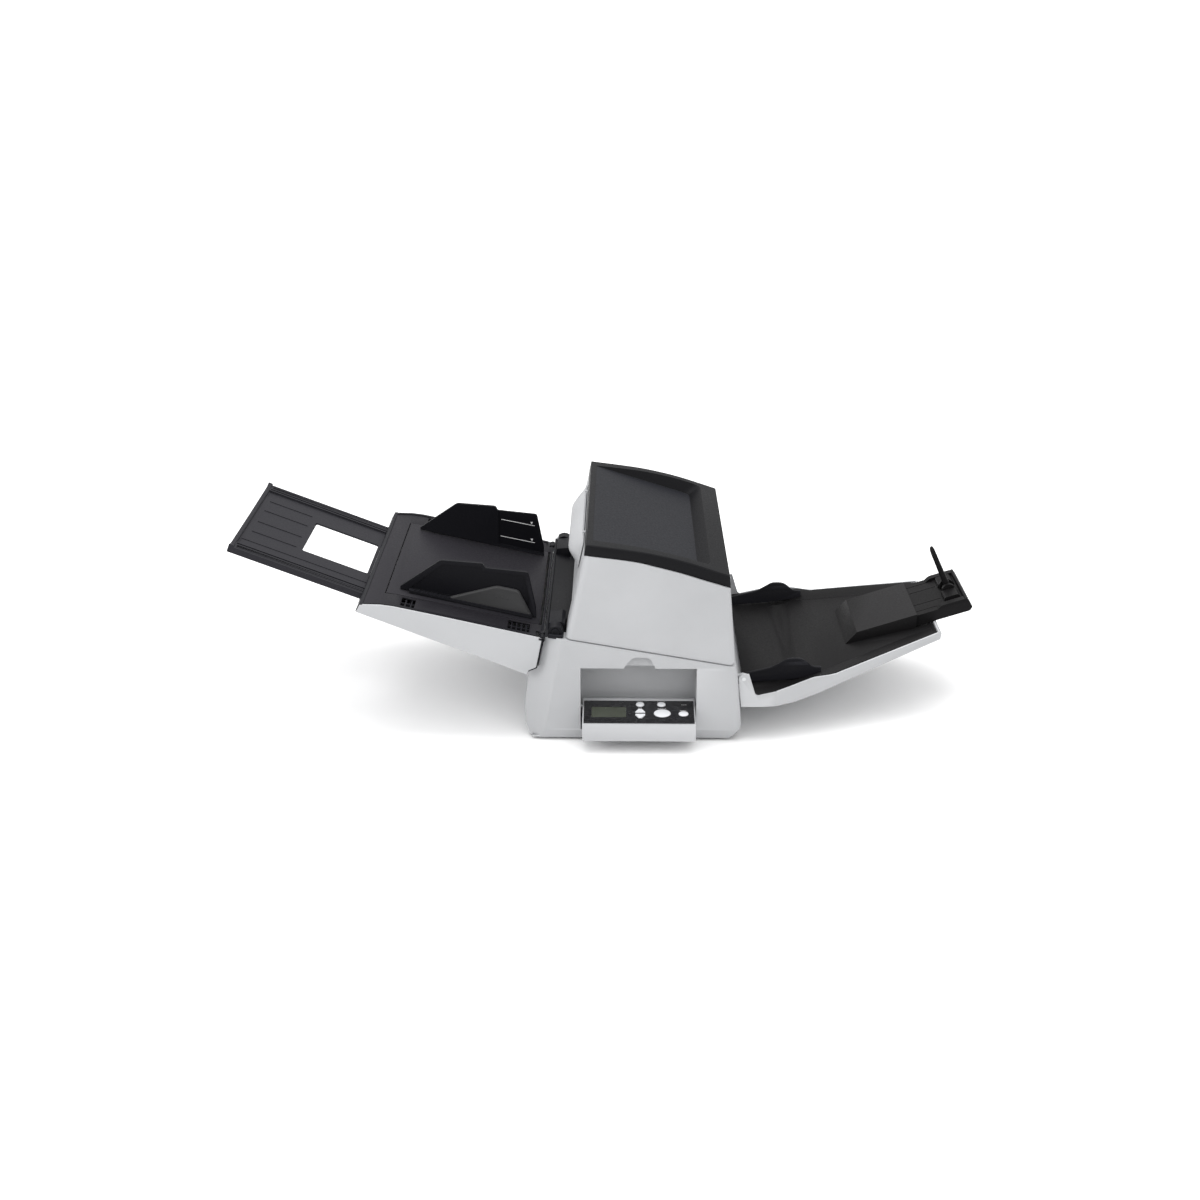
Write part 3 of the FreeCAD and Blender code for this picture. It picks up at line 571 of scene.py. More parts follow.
def base_rings(skin):
    """The levels of the base's outside (skin 0), or of its cavity (skin > 0)."""
    rings = []
    for z in BASE_LEVELS:
        front = level(BASE_FRONT, z) + LEANING_WALL * skin
        rear = level(BASE_REAR, z) - LEANING_WALL * skin
        half = (BASE_HALF if z > BASE_FOOT else BASE_FOOT_HALF) - skin
        lean = FACET_NORMAL.z * (z - FACET_POINT[2]) + skin
        side_x = FACET_POINT[0] + (lean + FACET_NORMAL.y * (half - FACET_POINT[1])) / -FACET_NORMAL.x
        front_y = FACET_POINT[1] + (-FACET_NORMAL.x * (front - FACET_POINT[0]) - lean) / FACET_NORMAL.y
        corners = [
            (front, -front_y, 2), (side_x, -half, 2), (rear, -half, 9 - skin),
            (rear, half, 9 - skin), (side_x, half, 2), (front, front_y, 2),
        ]
        rings.append(ring_at(z if z > BASE_FOOT or not skin else CAVITY_FLOOR, corners))
    return rings


def base_shell():
    """The lower housing: facetted front corners, round rear ones, and a recess for each panel."""
    shell = loft("base_housing", base_rings(0.0))
    cut(shell, through(BASE_TOP + BASE_ABOVE, CLEAR))
    cavity = loft("cavity", base_rings(BASE_WALL))
    cut(cavity, through(raised(BASE_TOP, -3.1) + BASE_ABOVE, CLEAR))
    cut(shell, cavity, through(BASE_MOUTH, 196))
    fuse(shell, *pair("pocket", rect(-88.2, 15.5, 90.8, 121), 177, 226))
    fuse(shell, *pair("thumb", rect(-26, 118, 31, 139), 213, 226))
    cut(shell, *pair("recess", PANEL_RECESS, 180, 230))
    cut(shell, *pair("notch", rounded(THUMB_NOTCH, 7, 5), 216, 230))
    for low_y, high_y, low_z, high_z in REAR_SOCKETS:
        cut(shell, prism("socket", rect(148, low_z, 160, high_z), low_y, high_y))
    # rows of slots in the rear wall, for air
    for row in range(VENT_ROWS):
        slot_z = VENT_LOWEST + row * VENT_PITCH
        for low_y, high_y in ((-150, -92), (-88, -30)):
            cut(shell, prism("vent", rect(146, slot_z, 160, slot_z + VENT_HEIGHT), low_y, high_y))
    # lugs that carry the cover, the hopper and the stacker
    merge(shell, *pair("lug", rounded(COVER_LUG, 2), 199, 205))
    merge(shell, *pair("lug", HOPPER_LUG, 196.5, 202), *pair("lug", STACKER_LUG, 208, 214))
    finish_piece(soften(shell, 1.3, 3), "base", *SHELL, ["base_shell"])


# ---- cover

TOP_ARCH = [(-76, 308), (-8, 299), (30, 292), (70, 282), (107, 270), (133.5, 261)]
BAND_EDGE = [(-79.6, 291.3), (-8.7, 282.2), (26.6, 274), (62, 264.7), (97.5, 253.5), (135, 242)]
COVER_PIVOT = (135.0, 132.2)
# the gap between the base and the cover, which shows as a dark line
COVER_LIFT = 1.3
COVER_LEVELS = (118, 175, 300)
COVER_INSIDE = [(-103, 150), (-81, 240), (132.5, 232), (141.2, 128), (135, 110)]
COVER_THROAT = [(-82, 238), (-75, 320), (128, 320), (134, 230)]
FEED_MOUTH = [(-112, 150), (-95, 150), (-88, 200), (-112, 200)]
EXIT_SLOT = rect(137, 110, 150, 152)
HANDLE_PIVOT = (-82, 288.4)
HANDLE_EAR = [(-84.6, 286.5), (-84.6, 290.5), (-79.5, 291.2), (-77, 290), (-78, 284)]


def cover_half(z):
    """The cover's half width at a height: upright sides that lean inwards above a line."""
    return 225.0 - 7.0 * max(0.0, z - 175.0) / 145.0


def upper_shell():
    """The cover's white housing, drawn in towards its top, with rounded upright corners."""
    rings = []
    for z in COVER_LEVELS:
        front = -107.3 + 0.2176 * (z - 164)
        rear = 144.4 - 0.0856 * (z - COVER_PIVOT[1])
        half = cover_half(z)
        corners = [(front, -half, 11), (rear, -half, 7), (rear, half, 7), (front, half, 11)]
        rings.append(ring_at(z, corners))
    shell = loft("cover_housing", rings)
    arch = [(-140, 299)] + smooth(BAND_EDGE) + [(160, 234), (160, 330), (-140, 330)]
    cut(shell, through(arch, CLEAR))
    heel = arc(*COVER_PIVOT, 9.4, -90, 0, 8)
    lift = [(x, seam(x) + COVER_LIFT) for x in (-150, 133.2)]
    lift += heel + [(170, 132.2), (170, 90), (-150, 90)]
    cut(shell, through(lift, CLEAR))
    cut(shell, through(COVER_INSIDE, 218))
    cut(shell, through(COVER_THROAT, 214))
    cut(shell, through(rounded(FEED_MOUTH, 0.5, 1), 160))
    cut(shell, through(EXIT_SLOT, 207))
    bosses = []
    for low, high in both_sides(206, 217.4):
        boss = rod("boss", *COVER_PIVOT, 9.3, low, high)
        cut(boss, rod("bore", *COVER_PIVOT, 4.05, low - 3, high + 3))
        bosses.append(boss)
    for side in (NEAR, FAR):
        ear = prism("ear", HANDLE_EAR, *across(side, 101, 106))
        cut(ear, rod("ear_bore", *HANDLE_PIVOT, 1.25, *across(side, 99, 104.5)))
        bosses.append(ear)
    merge(shell, *bosses)
    finish_piece(soften(shell, 1.2, 3), "cover", *SHELL, ["upper_shell"])


LID_STEPS = ((-217.2, 0.0), (-216.6, 0.55), (-215.2, 0.9), (-212.0, 1.0))
LID_FLOOR = [(40, 268), (102, 250), (112, 250), (112, 266), (60, 280)]
LID_UNDER = [(-72, 284), (-69.5, 299), (-65, 300), (30, 266), (34, 258)]
# the tray's floor line, and its levels: height above the floor, length, half width and rear radius
LID_TRAY_FRONT, LID_TRAY_REAR = (-70, 307.2), (88.4, 257.4)
LID_TRAY_LEVELS = ((0, 166, 192, 14), (6, 170, 194, 15), (30, 190, 202, 16))
# the tray's floor is the face that points up and is larger than this, in square metres
LEVEL_FACE, LARGE_FACE = 0.9, 0.03


def top_cover():
    """The black cover: a crowned rim round a shallow tray with sloping walls."""
    arch, band = smooth(TOP_ARCH), smooth(BAND_EDGE)
    rings = []
    for y, rise in LID_STEPS + tuple((-y, rise) for y, rise in LID_STEPS[::-1]):
        ring = []
        for top_point, low_point in zip(arch, band):
            low = Vector(low_point)
            top = low + (Vector(top_point) - low) * (0.80 + 0.20 * rise)
            ring.append((top.x, top.y))
        ring += band[::-1]
        rings.append([place(x, y, z) for x, z in ring])
    cover = loft("cover_lid", rings)
    fuse(cover, through(LID_FLOOR, 204))
    (front_x, front_z), (rear_x, rear_z) = LID_TRAY_FRONT, LID_TRAY_REAR
    slope = math.atan2(front_z - rear_z, rear_x - front_x)
    tray = Matrix.Translation(place(front_x, 0, front_z)) @ Matrix.Rotation(slope, 4, "Y")
    rings = []
    for rise, reach, half, radius in LID_TRAY_LEVELS:
        start = 3.0 - rise * 0.1
        corners = [(start, -half, 3.0), (reach, -half, radius), (reach, half, radius), (start, half, 3.0)]
        rings.append([within(tray, p.x, p.y, rise) for p in curved(corners)])
    cut(cover, loft("tray", rings))
    cut(cover, through(LID_UNDER, 211))
    soften(cover, 1.6, 3, 24)
    finish_piece(cover, "cover", plastics["cover_plastic"], "black_cover", ["top_cover"])
    cover.data.materials.append(plastics["tray_floor"])
    for face in cover.data.polygons:
        if face.normal.z > LEVEL_FACE and face.area > LARGE_FACE:
            face.material_index = 1


def lever_loft(name, bulge, spine, stations):
    """A bulge off the cover's front face: at each y it stands out by a share of its full reach."""
    rings = []
    for y, out in stations:
        face = [Vector(s) + (Vector(b) - Vector(s)) * out for b, s in zip(bulge, spine)]
        rings.append([place(p.x, y, p.y) for p in face] + [place(x, y, z) for x, z in spine[::-1]])
    return loft(name, rings)


LEVER_BULGE = [
    (-84.6, 289.8), (-93, 282.5), (-101, 273), (-105.8, 265), (-104.6, 259.4), (-99, 252), (-92, 246),
]
# the bulge's back, on the cover's leaning front: its top, and the way down to its bottom
LEVER_SPINE, LEVER_SPINE_DROP = (-81.8, 288.6), (-8.8, 41.2)
LEVER_HOLLOW = [(-86.5, 282), (-98, 268), (-100.2, 264), (-96.5, 257), (-88, 244), (-84, 250), (-80, 280)]
LEVER_STATIONS = (-100, -90, -45, 0, 45, 90, 100)
FLARE_STATIONS = ((100.8, 0.97), (108, 0.93), (118, 0.80), (130, 0.55), (142, 0.26), (152, 0.04))


def release_handle():
    """The white bulge under the lid's front edge, which is pulled out to open the cover."""
    bulge = smooth(LEVER_BULGE, 5)
    last = len(bulge) - 1
    (top_x, top_z), (drop_x, drop_z) = LEVER_SPINE, LEVER_SPINE_DROP
    spine = [(top_x + drop_x * n / last, top_z - drop_z * n / last) for n in range(last + 1)]
    stations = [(y, 0.97 if abs(y) > 90 else 1.0) for y in LEVER_STATIONS]
    nose = lever_loft("release_lever", bulge, spine, stations)
    cut(nose, through(LEVER_HOLLOW, 93))
    merge(nose, *pair("pin", ellipse(*HANDLE_PIVOT, 1.2, 1.2, 16), 97, 103.6))
    finish_piece(soften(nose, 1.0, 3), "release_handle", *SHELL, ["release_handle"])
    # the bulge runs out into the cover's face at both ends of the lever
    flares = []
    for side in (NEAR, FAR):
        stations = [(side * y, out) for y, out in FLARE_STATIONS]
        flares.append(lever_loft("flare", bulge, spine, stations))
    finish_piece(soften(joined("lever_flares", flares), 0.6, 2, 40), "cover", *SHELL)


base_shell()
upper_shell()
top_cover()
release_handle()

# ---- hopper

DECK_TOP = [(-409, 214), (-380, 213.2), (-362, 210.8), (-292, 195.4), (-144.3, 162.25)]
# the slots in the deck's margins: x range and number of ribs
DECK_SLOTS = ((-352, -332, 2), (-194, -162, 4))
SLOT_INNER, SLOT_OUTER = 172, 206
KERB = [(-405, 214.1), (-380, 213.3), (-362, 210.9), (-292, 195.5), (-150, 163.6)]


def deck_at(x):
    """The height of the hopper's deck."""
    for (x0, z0), (x1, z1) in zip(DECK_TOP, DECK_TOP[1:]):
        if x <= x1:
            return z0 + (z1 - z0) * (x - x0) / (x1 - x0)
    return DECK_TOP[-1][1]


def hopper_trim():
    """Ribs inside the slots of the deck's margins, and a low kerb along each outer edge."""
    ribs = []
    for side in (NEAR, FAR):
        low, high = across(side, SLOT_INNER - 1, SLOT_OUTER + 1)
        for front, rear, count in DECK_SLOTS:
            front_z, rear_z = deck_at(front), deck_at(rear)
            top = [(front - 1, front_z - 8.0), (rear + 1, rear_z - 8.0)]
            ribs.append(prism("slot_floor", top + raised(top[::-1], -1.5), low, high))
            for n in range(count):
                x = front + (rear - front) * (n + 0.7) / (count + 0.4)
                z = deck_at(x)
                rib = [(x - 1.1, z - 8.2), (x + 1.1, z - 8.2), (x + 1.0, z - 2.6), (x - 1.0, z - 2.6)]
                ribs.append(prism("rib", rib, low, high))
            bar = [(front - 0.5, front_z - 8.2), (rear + 0.5, rear_z - 8.2)]
            bar += [(rear + 0.5, rear_z - 2.2), (front - 0.5, front_z - 2.2)]
            mid_y = side * (SLOT_INNER + SLOT_OUTER) / 2
            ribs.append(prism("bar", bar, mid_y - 1.0, mid_y + 1.0))
        ribs.append(prism("kerb", KERB + raised(KERB[::-1], 1.3), *across(side, 209.5, 215.8)))
    finish_piece(soften(joined("hopper_slot_ribs", ribs), 0.35, 2), "hopper", *GUIDE)


BLADE = [
    (-359, 215), (-297, 257), (-233, 252), (-230, 245), (-165, 238), (-154, 181), (-154, 165.6),
    (-292, 196.6), (-359, 211.6),
]
# how far the blade's corners are rounded, by their place in the outline
BLADE_CURVES = {1: 4.0, 2: 4.0, 3: 2.0, 4: 4.0, 5: 4.0}
BLADE_INSET = [
    (-344, 213), (-294.5, 250.5), (-237, 246.2), (-233, 239.4), (-171, 232.6), (-164, 196),
    (-168, 175), (-292, 202.5), (-340, 212.2),
]
BLADE_STEP = [(-229, 262), (-229, 188), (-150, 170), (-150, 262)]
BLADE_FOOT = [(-345, 212.4), (-345, 208.6), (-292, 196.6), (-160, 167), (-160, 171)]
RACK_TEETH, RACK_START, RACK_PITCH, TOOTH_WIDE = 9, -338, 6.5, 2.4
GRIP = [(-287, 198.4), (-213, 217), (-180, 210), (-162, 172.4), (-162, 168.6)]
GRIP_MIDDLE = (-214, 190)
# the grip's levels: distance from the centre line, and scale
GRIP_LEVELS = ((142.2, 1.0), (145.6, 1.0), (147.0, 0.975), (148.0, 0.93))
LIMIT_LINES = ((-224, 230, -169, 218.6), (-226, 201, -169, 189))
LIMIT_INNER, LIMIT_OUTER = 138.3, 138.65


def guide_blade(side, body):
    """The guide's rimmed blade on its toothed foot."""
    outline = []
    for n, point in enumerate(BLADE):
        if n in BLADE_CURVES:
            here, before, after = Vector(point), Vector(BLADE[n - 1]), Vector(BLADE[n + 1])
            reach_in = min(BLADE_CURVES[n], (before - here).length * 0.4)
            reach_out = min(BLADE_CURVES[n], (after - here).length * 0.4)
            outline += [(p.x, p.y) for p in corner_curve(before, here, after, reach_in, reach_out, 5)]
        else:
            outline.append(point)
    blade = prism(body + "_blade", outline, *across(side, 137, 143))
    cut(blade, prism("outer_inset", rounded(BLADE_INSET, 3.5, 3), *across(side, 141.9, 144)))
    cut(blade, prism("inner_step", BLADE_STEP, *across(side, 136, 138.6)))
    merge(blade, prism("foot", BLADE_FOOT, *across(side, 142, 152)))
    # a rack of fine teeth on the foot's upper face
    (start_x, start_z), (end_x, end_z) = BLADE_FOOT[1:3]
    for n in range(RACK_TEETH):
        x = RACK_START + n * RACK_PITCH
        z = start_z + (x - start_x) * (end_z - start_z) / (end_x - start_x)
        tooth = [(x, z), (x + TOOTH_WIDE, z), (x + TOOTH_WIDE, z + 4.6), (x, z + 4.9)]
        merge(blade, prism("tooth", tooth, *across(side, 144, 151)))
    finish_piece(soften(blade, 1.1, 3), body, *GUIDE, [body])


def guide_grip(side, body):
    """The grey finger grip on the guide's outside, with three dots."""
    middle = Vector(GRIP_MIDDLE)
    rings = []
    for y, scale in GRIP_LEVELS:
        ring = [middle + (Vector(p) - middle) * scale for p in rounded(GRIP, 5, 4)]
        rings.append([place(p.x, side * y, p.y) for p in ring])
    grip = loft(body + "_grip", rings)
    for n in range(3):
        merge(grip, rod("dot", -214 + n * 8.5, 200.4 - n * 1.6, 1.25, *across(side, 147.9, 148.5), 16))
    finish_piece(soften(grip, 0.8, 3), body, plastics["grip_plastic"], "black_guides")


def guide_limit_lines(side, body):
    """The two limit lines on the guide's inside, each with a small arrow."""
    marks = []
    for x0, z0, x1, z1 in LIMIT_LINES:
        line = [(x0, z0), (x1, z1), (x1, z1 - 0.9), (x0, z0 - 0.9)]
        tip = x1 - 5
        z = z1 - (z1 - z0) / (x1 - x0) * 5 + 1.2
        arrow = [(tip, z), (tip + 2.0, z + 4.2), (tip - 2.0, z + 4.2)]
        marks += [prism("mark", shape, *across(side, LIMIT_INNER, LIMIT_OUTER)) for shape in (line, arrow)]
    finish_piece(joined(body + "_limit_lines", marks), body, mark_paint, "keys")


def side_guide(side, body):
    """A tall sheet guide of the hopper."""
    guide_blade(side, body)
    guide_grip(side, body)
    guide_limit_lines(side, body)


EXTENSION = tilted(-417.0, 0.0, 209.3, "Y", 21.0)
# grooves along the chute's rails: distance from the centre line, half width and depth
RAIL_GROOVES = ((143, 0.9, 1.0), (148.5, 1.4, 1.3), (153, 0.7, 0.8))
FLOOR_RIBS = (86, 39, -16, -63)
# half of the lip across the chute's outer end: distance from the centre line, height and end
LIP_HALF = [(0, 0.8, -207.0), (136, 0.9, -207.2), (148, 1.6, -207.6), (155, 2.8, -208.0), (157, 3.0, -208.0)]


def hopper_extension():
    """The pull-out chute: two grooved rails, a ribbed floor, a window, and a lip with raised ends."""
    def board(name, outline, low, high):
        return slab(name, outline, low, high, EXTENSION)

    def strip(front, rear, side, inner, outer):
        low, high = across(side, inner, outer)
        return rect(front, low, rear, high)

    chute = board("extension_floor", rect(-205, -131, 30, 131), -5, -2.2)
    for side in (NEAR, FAR):
        fuse(chute, board("rail", strip(-205, 30, side, 130, 157), -9.8, 0))
        cut(chute, board("channel", strip(-199, 40, side, 133.5, 138.5), -1.6, 1))
        for at, half, deep in RAIL_GROOVES:
            cut(chute, board("groove", rect(-197, side * at - half, 40, side * at + half), -deep, 1))
        cut(chute, board("shallow", strip(-198, 40, side, 104, 129), -3.0, 1))
        cut(chute, board("under_rail", strip(-203, 28, side, 134, 153), -12, -2.8))
    cut(chute, board("window", rounded(rect(-108, -67, -2, 67), 3, 3), -8, 2))
    for y in FLOOR_RIBS:
        merge(chute, board("rib", rect(-190, y - 0.9, -118, y + 0.9), -2.5, -1.3))
    rings = []
    for y, up, out in [(-y, up, out) for y, up, out in LIP_HALF[:0:-1]] + LIP_HALF:
        section = [(out, -9.8), (out, up - 0.8), (out + 1.2, up)]
        section += [(-201.8, up), (-200.4, up - 1.0), (-200, -9.8)]
        rings.append([within(EXTENSION, a, y, c) for a, c in section])
    fuse(chute, loft("lip", rings))
    chute.name = "hopper_chute"
    body = "hopper_extension"
    finish_piece(soften(chute, 0.9, 3), body, plastics["chute_plastic"], "black_trays", [body])


HOPPER_PIVOT = (-142.5, 159.5)
THROAT_BLOCK = [
    (-133.5, 163.4), (-112.3, 160.2), (-111.2, 172), (-115, 178.5), (-123, 180.5), (-131.5, 177.5),
    (-133.5, 172),
]
THROAT_LEDGE = [(-133.5, 164), (-112.5, 161), (-112.5, 166.5), (-133.5, 168.2)]
THROAT_BOSS = (-122.2, 171.4)
EDGE_STRIP = [(-137.7, 166.3), (-134.2, 165.9), (-113, 163.8), (-113, 165.0), (-137.7, 167.7)]
FRONT_STRIP = [(-137.7, 165.4), (-134.4, 165.4), (-134.4, 167.3), (-137.7, 167.7)]
END_CAP = [(-144.1, 161.2), (-140.3, 160.6), (-140.3, 161.7), (-142, 162.5), (-144.1, 163.2)]
FRONT_CAP = [(-416.3, 203.4), (-410.4, 214.2), (-406, 214.0), (-406, 214.9), (-410.9, 215.1), (-416.9, 204.2)]
# painted shade: thin black strips down the end of the hopper's side walls and at its hinge corners, where the
# gap between the hopper and the base falls dark
GAP_SHADE_STRIP = [
    (-142.2, 162.0), (-140.1, 161.6), (-149.8, 114.9), (-163.6, 108.6), (-163.0, 110.6), (-151.4, 116),
]
GAP_SHADE_CORNER = [(-147, 162.8), (-140.0, 161.4), (-140.7, 158.0), (-147, 159.5)]
HINGE_HOOD = [
    (-147.2, 158), (-147.2, 162.6), (-145.2, 164.3), (-139.2, 164.3), (-135.4, 157.6), (-135.4, 154),
]
THROAT_TAB = [(-135.5, 168.5), (-127.5, 167), (-127.5, 171.2), (-135.5, 172)]
TAB_LOW, TAB_HIGH = 215, 220.4


def throat_corners():
    """The black mouldings at both sides of the feed throat."""
    parts = []
    for side in (NEAR, FAR):
        parts.append(prism("corner", rounded(THROAT_BLOCK, 2.2, 3), *across(side, 197, 218)))
        parts.append(prism("ledge", THROAT_LEDGE, *across(side, 176, 222.5)))
        boss = rod("boss", *THROAT_BOSS, 5.4, *across(side, 216, 221.0), 36)
        cut(boss, rod("ring", *THROAT_BOSS, 3.6, *across(side, 219.6, 224), 30))
        parts.append(boss)
    finish_piece(soften(joined("throat_corners", parts), 0.9, 3), "base", *GUIDE)
    strips = pair("strip", EDGE_STRIP, 196, 222.5) + [through(FRONT_STRIP, 222.5)]
    finish_piece(soften(joined("throat_edge_strips", strips), 0.4, 2), "base", *GUIDE)


def hopper_end_trim():
    """Black trim at both ends of the hopper, with its hinge; the black strips down its side walls and at its
    hinge corners are painted shade for the dark gap to the base.
    """
    cap = prism("hopper_end_cap", END_CAP, -219.6, 219.6)
    merge(cap, through(FRONT_CAP, 219.6))
    for low, high in both_sides(215, 220.4):
        # black strips painted into the gap between the hopper and the base, as its shade
        merge(cap, prism("shade_strip", GAP_SHADE_STRIP, low, high), prism("shade_corner", GAP_SHADE_CORNER, low, high))
    finish_piece(soften(cap, 0.4, 2), "hopper", *GUIDE)
    sleeves = pair("sleeve", ellipse(*HOPPER_PIVOT, 4.5, 4.5, 28), 203.7, 218.4)
    finish_piece(soften(joined("hopper_hinge_sleeves", sleeves), 0.4, 2), "hopper", *GUIDE)
    hoods = pair("hood", HINGE_HOOD, 195.8, 202.8)
    finish_piece(soften(joined("hopper_hinge_hoods", hoods), 0.5, 2), "base", *GUIDE)


def throat_tab():
    """A light tab beside the far corner moulding."""
    tab = prism("throat_tab", rounded(THROAT_TAB, 1.0, 2), TAB_LOW, TAB_HIGH)
    finish_piece(soften(tab, 0.4, 2), "base", key_plastic, "keys")


hopper_trim()
side_guide(NEAR, "side_guide_near")
side_guide(FAR, "side_guide_far")
hopper_extension()
throat_corners()
hopper_end_trim()
throat_tab()

# ---- stacker

STACKER_PIVOT = (158.3, 97.8)
# the line that the margins stay under
STACKER_RIM = [(176, 71), (232, 83), (266, 91), (296, 90.5), (464.5, 133.2)]
STACKER_UNDER = [
    (466.5, 121.8), (391, 100.2), (330, 81.6), (270, 63.7), (235, 56.5), (186, 53.2), (155.4, 53),
]
STACKER_DECK = [(162, 69), (238, 75.5), (296, 87), (462, 129.6)]
STACKER_EDGE = [
    (226, 81.7), (234, 83.6), (262, 90.3), (268, 91), (290, 90.6), (300, 91.4), (464.5, 133.2), (468, 131.2),
]
STACKER_FLOOR = [
    (140, 56), (186, 56.6), (235, 60), (270, 67.2), (330, 85.2), (391, 103.8), (463, 124.6), (463, 200),
    (140, 160),
]
STACKER_NOTCH = [(455, 128.4), (480, 136.5), (480, 150), (455, 150)]
TAPER_START, TAPER_END, TAPER = 208, 480, 0.404
STACKER_HALF, STACKER_WALL = 220, 3.8
# the black margins: x and height above the bed of each station
MARGIN_STATIONS = (
    (176, 1.0), (200, 1.6), (232, 2.6), (258, 6.6), (276, 8.6), (296, 6.2), (330, 5.0), (380, 4.2),
    (420, 3.6), (456, 2.8),
)
THUMB_WALL = [
    (163, 85), (185, 90.5), (205, 96), (219, 103.5), (229, 109.2), (238, 110.3), (248, 109.4),
    (256, 105), (263, 99), (269, 96.8), (279, 96.4),
]
THUMB_WALL_FOOT = [(279, 84.9), (238, 76.9), (163, 70.2)]
# the wall's levels: distance from the centre line, and how much its top edge is rounded away
THUMB_WALL_LEVELS = ((162.0, 1.2), (162.5, 0.4), (163.4, 0.0), (166.6, 0.0), (167.5, 0.4), (168.0, 1.2))


def tray_side(x, inset=0.0):
    """The tray's half width at x, which narrows towards its outer end."""
    return STACKER_HALF - TAPER * max(0.0, x - TAPER_START) - inset


def plan(name, outline):
    """A tall cutter that stands on a plan outline."""
    return loft(name, [[place(x, y, z) for x, y in outline] for z in (40, 140)])


def stacker_shell():
    """The white tray: an ear at each hinge, slanting side walls and a notch for the extension."""
    heel = arc(*STACKER_PIVOT, 7.6, 180, 90, 8)
    dip = arc(180.5, 76.2, 5.2, 200, 290, 5)
    outline = heel + [(166, 105.6)] + dip + STACKER_EDGE + STACKER_UNDER
    shell = prism("stacker_housing", outline, -STACKER_HALF, STACKER_HALF)
    cut(shell, through(STACKER_FLOOR, 216.5))
    cut(shell, through(STACKER_NOTCH, 68.5))
    profile = [(208, 77.8)] + STACKER_EDGE + STACKER_UNDER[:5] + [(208, 54.6)]
    # every plan outline turns the same way on both sides
    for side in (NEAR, FAR):
        outer = [(x, side * tray_side(x)) for x in (TAPER_START, TAPER_END)]
        outer += [(TAPER_END, side * 235), (TAPER_START, side * 235)]
        inner = [(x, side * tray_side(x, STACKER_WALL)) for x in (200, TAPER_START, TAPER_END)]
        inner += [(TAPER_END, side * 85), (200, side * 85)]
        wall = prism("wall", profile, *across(side, 95, STACKER_HALF))
        cut(wall, plan("outer_cut", outer[::side]))
        cut(wall, plan("inner_cut", inner[::-side]))
        cut(shell, plan("corner_cut", outer[::side]))
        fuse(shell, wall)
    cut(shell, *pair("bore", ellipse(*STACKER_PIVOT, 3.05, 3.05, 28), 215, 222))
    finish_piece(soften(shell, 1.4, 3), "stacker", *SHELL, ["stacker_shell"])


def stacker_margins():
    """Curved black margins along both sides of the deck, with the bed sunk between them."""
    parts = []
    for side in (NEAR, FAR):
        rings = []
        for x, lift in MARGIN_STATIONS:
            deck = level(STACKER_DECK, x)
            edge = min(deck + lift, level(STACKER_RIM, x) + 1.2)
            section = (
                (38, deck + 0.2), (28, deck + 0.4 * lift), (16, edge - 0.4), (4.4, edge), (4.4, deck - 2),
                (38, deck - 2),
            )
            rings.append([place(x, side * tray_side(x, inset), z) for inset, z in section])
        parts.append(loft("margin", rings))
    finish_piece(soften(joined("stacker_margins", parts), 0.8, 2, 40), "stacker", *BED)


def stacker_guide(side, where):
    """A low wall beside the bed, whose top swells into a rounded thumb."""
    body = "stacker_guide_" + where
    top = smooth(THUMB_WALL, 4)
    rings = []
    for y, shrink in THUMB_WALL_LEVELS:
        ring = [place(x, side * y, z - shrink) for x, z in top]
        rings.append(ring + [place(x, side * y, z) for x, z in THUMB_WALL_FOOT])
    wall = loft("stacker_wall_" + where, rings)
    finish_piece(soften(wall, 0.5, 2, 40), body, *GUIDE, [body])


BAR = tilted(450.0, 0.0, 137.5, "Y", -18.0)
BAR_SIDE = [(-75, -8.8), (70, -8.8), (75, -3.5), (73, 4), (66, 8), (-75, 8)]
BAR_SHOULDER = [(36, 7), (39, 15), (60, 15), (64, 7)]
BAR_SIDE_WALL = [(20, 7), (30, 12.5), (66, 12.5), (72, 4)]
BAR_END_WALL = [(65, 4), (66.5, 12.5), (70.5, 12.5), (73.5, 3)]
BAR_LUG = [(38, 7), (41, 18), (46, 22), (54, 22), (59, 18), (62, 7)]
BAR_GROOVES = (-52, -26, 26, 52)
STOPPER_PIVOT = (50, 16)
# the finger's sections: height, front, rear and half width
FINGER_LEVELS = (
    (13.8, 46.4, 53.6, 7.0), (16, 45.2, 54.8, 7.5), (22, 44.8, 54.4, 7.5), (36, 43.0, 52.2, 6.8),
    (56, 41.0, 49.6, 6.0), (72, 39.3, 47.5, 5.8), (80, 38.8, 46.4, 5.6), (84, 39.8, 45.4, 4.4),
    (85.8, 41.2, 44.0, 2.6),
)
# points round a section, and the power that makes it squarer than an ellipse
FINGER_POINTS, FINGER_SQUARE = 20, 0.55


def bar_prism(name, outline, low, high):
    """An outline in the extension bar's own sloping side view, carried along y."""
    return loft(name, [[within(BAR, a, y, c) for a, c in outline] for y in (low, high)])


def stacker_extension():
    """The black sliding bar with its raised end block and the two shoulders that carry the stopper."""
    body = bar_prism("extension_bar", rounded(BAR_SIDE, 2.5, 3), -67, 67)
    fuse(body, *pair("shoulder", rounded(BAR_SHOULDER, 2.0, 3), 15, 46, bar_prism))
    fuse(body, *pair("side_wall", rounded(BAR_SIDE_WALL, 2.0, 3), 54, 66.8, bar_prism))
    fuse(body, bar_prism("end_wall", rounded(BAR_END_WALL, 1.5, 3), -66.8, 66.8))
    fuse(body, *pair("lug", rounded(BAR_LUG, 2.2, 4), 9, 15.2, bar_prism))
    cut(body, *pair("bore", ellipse(*STOPPER_PIVOT, 2.1, 2.1, 24), 8, 13.4, bar_prism))
    cut(body, bar_prism("under", rect(-72, -11, 30, 2), -60, 60))
    for at in BAR_GROOVES:
        cut(body, bar_prism("groove", rect(-60, 7.2, 34, 9), at - 0.8, at + 0.8))
    body.name = "stacker_slide"
    finish_piece(soften(body, 1.2, 3), "stacker_extension", *BED, ["stacker_extension"])


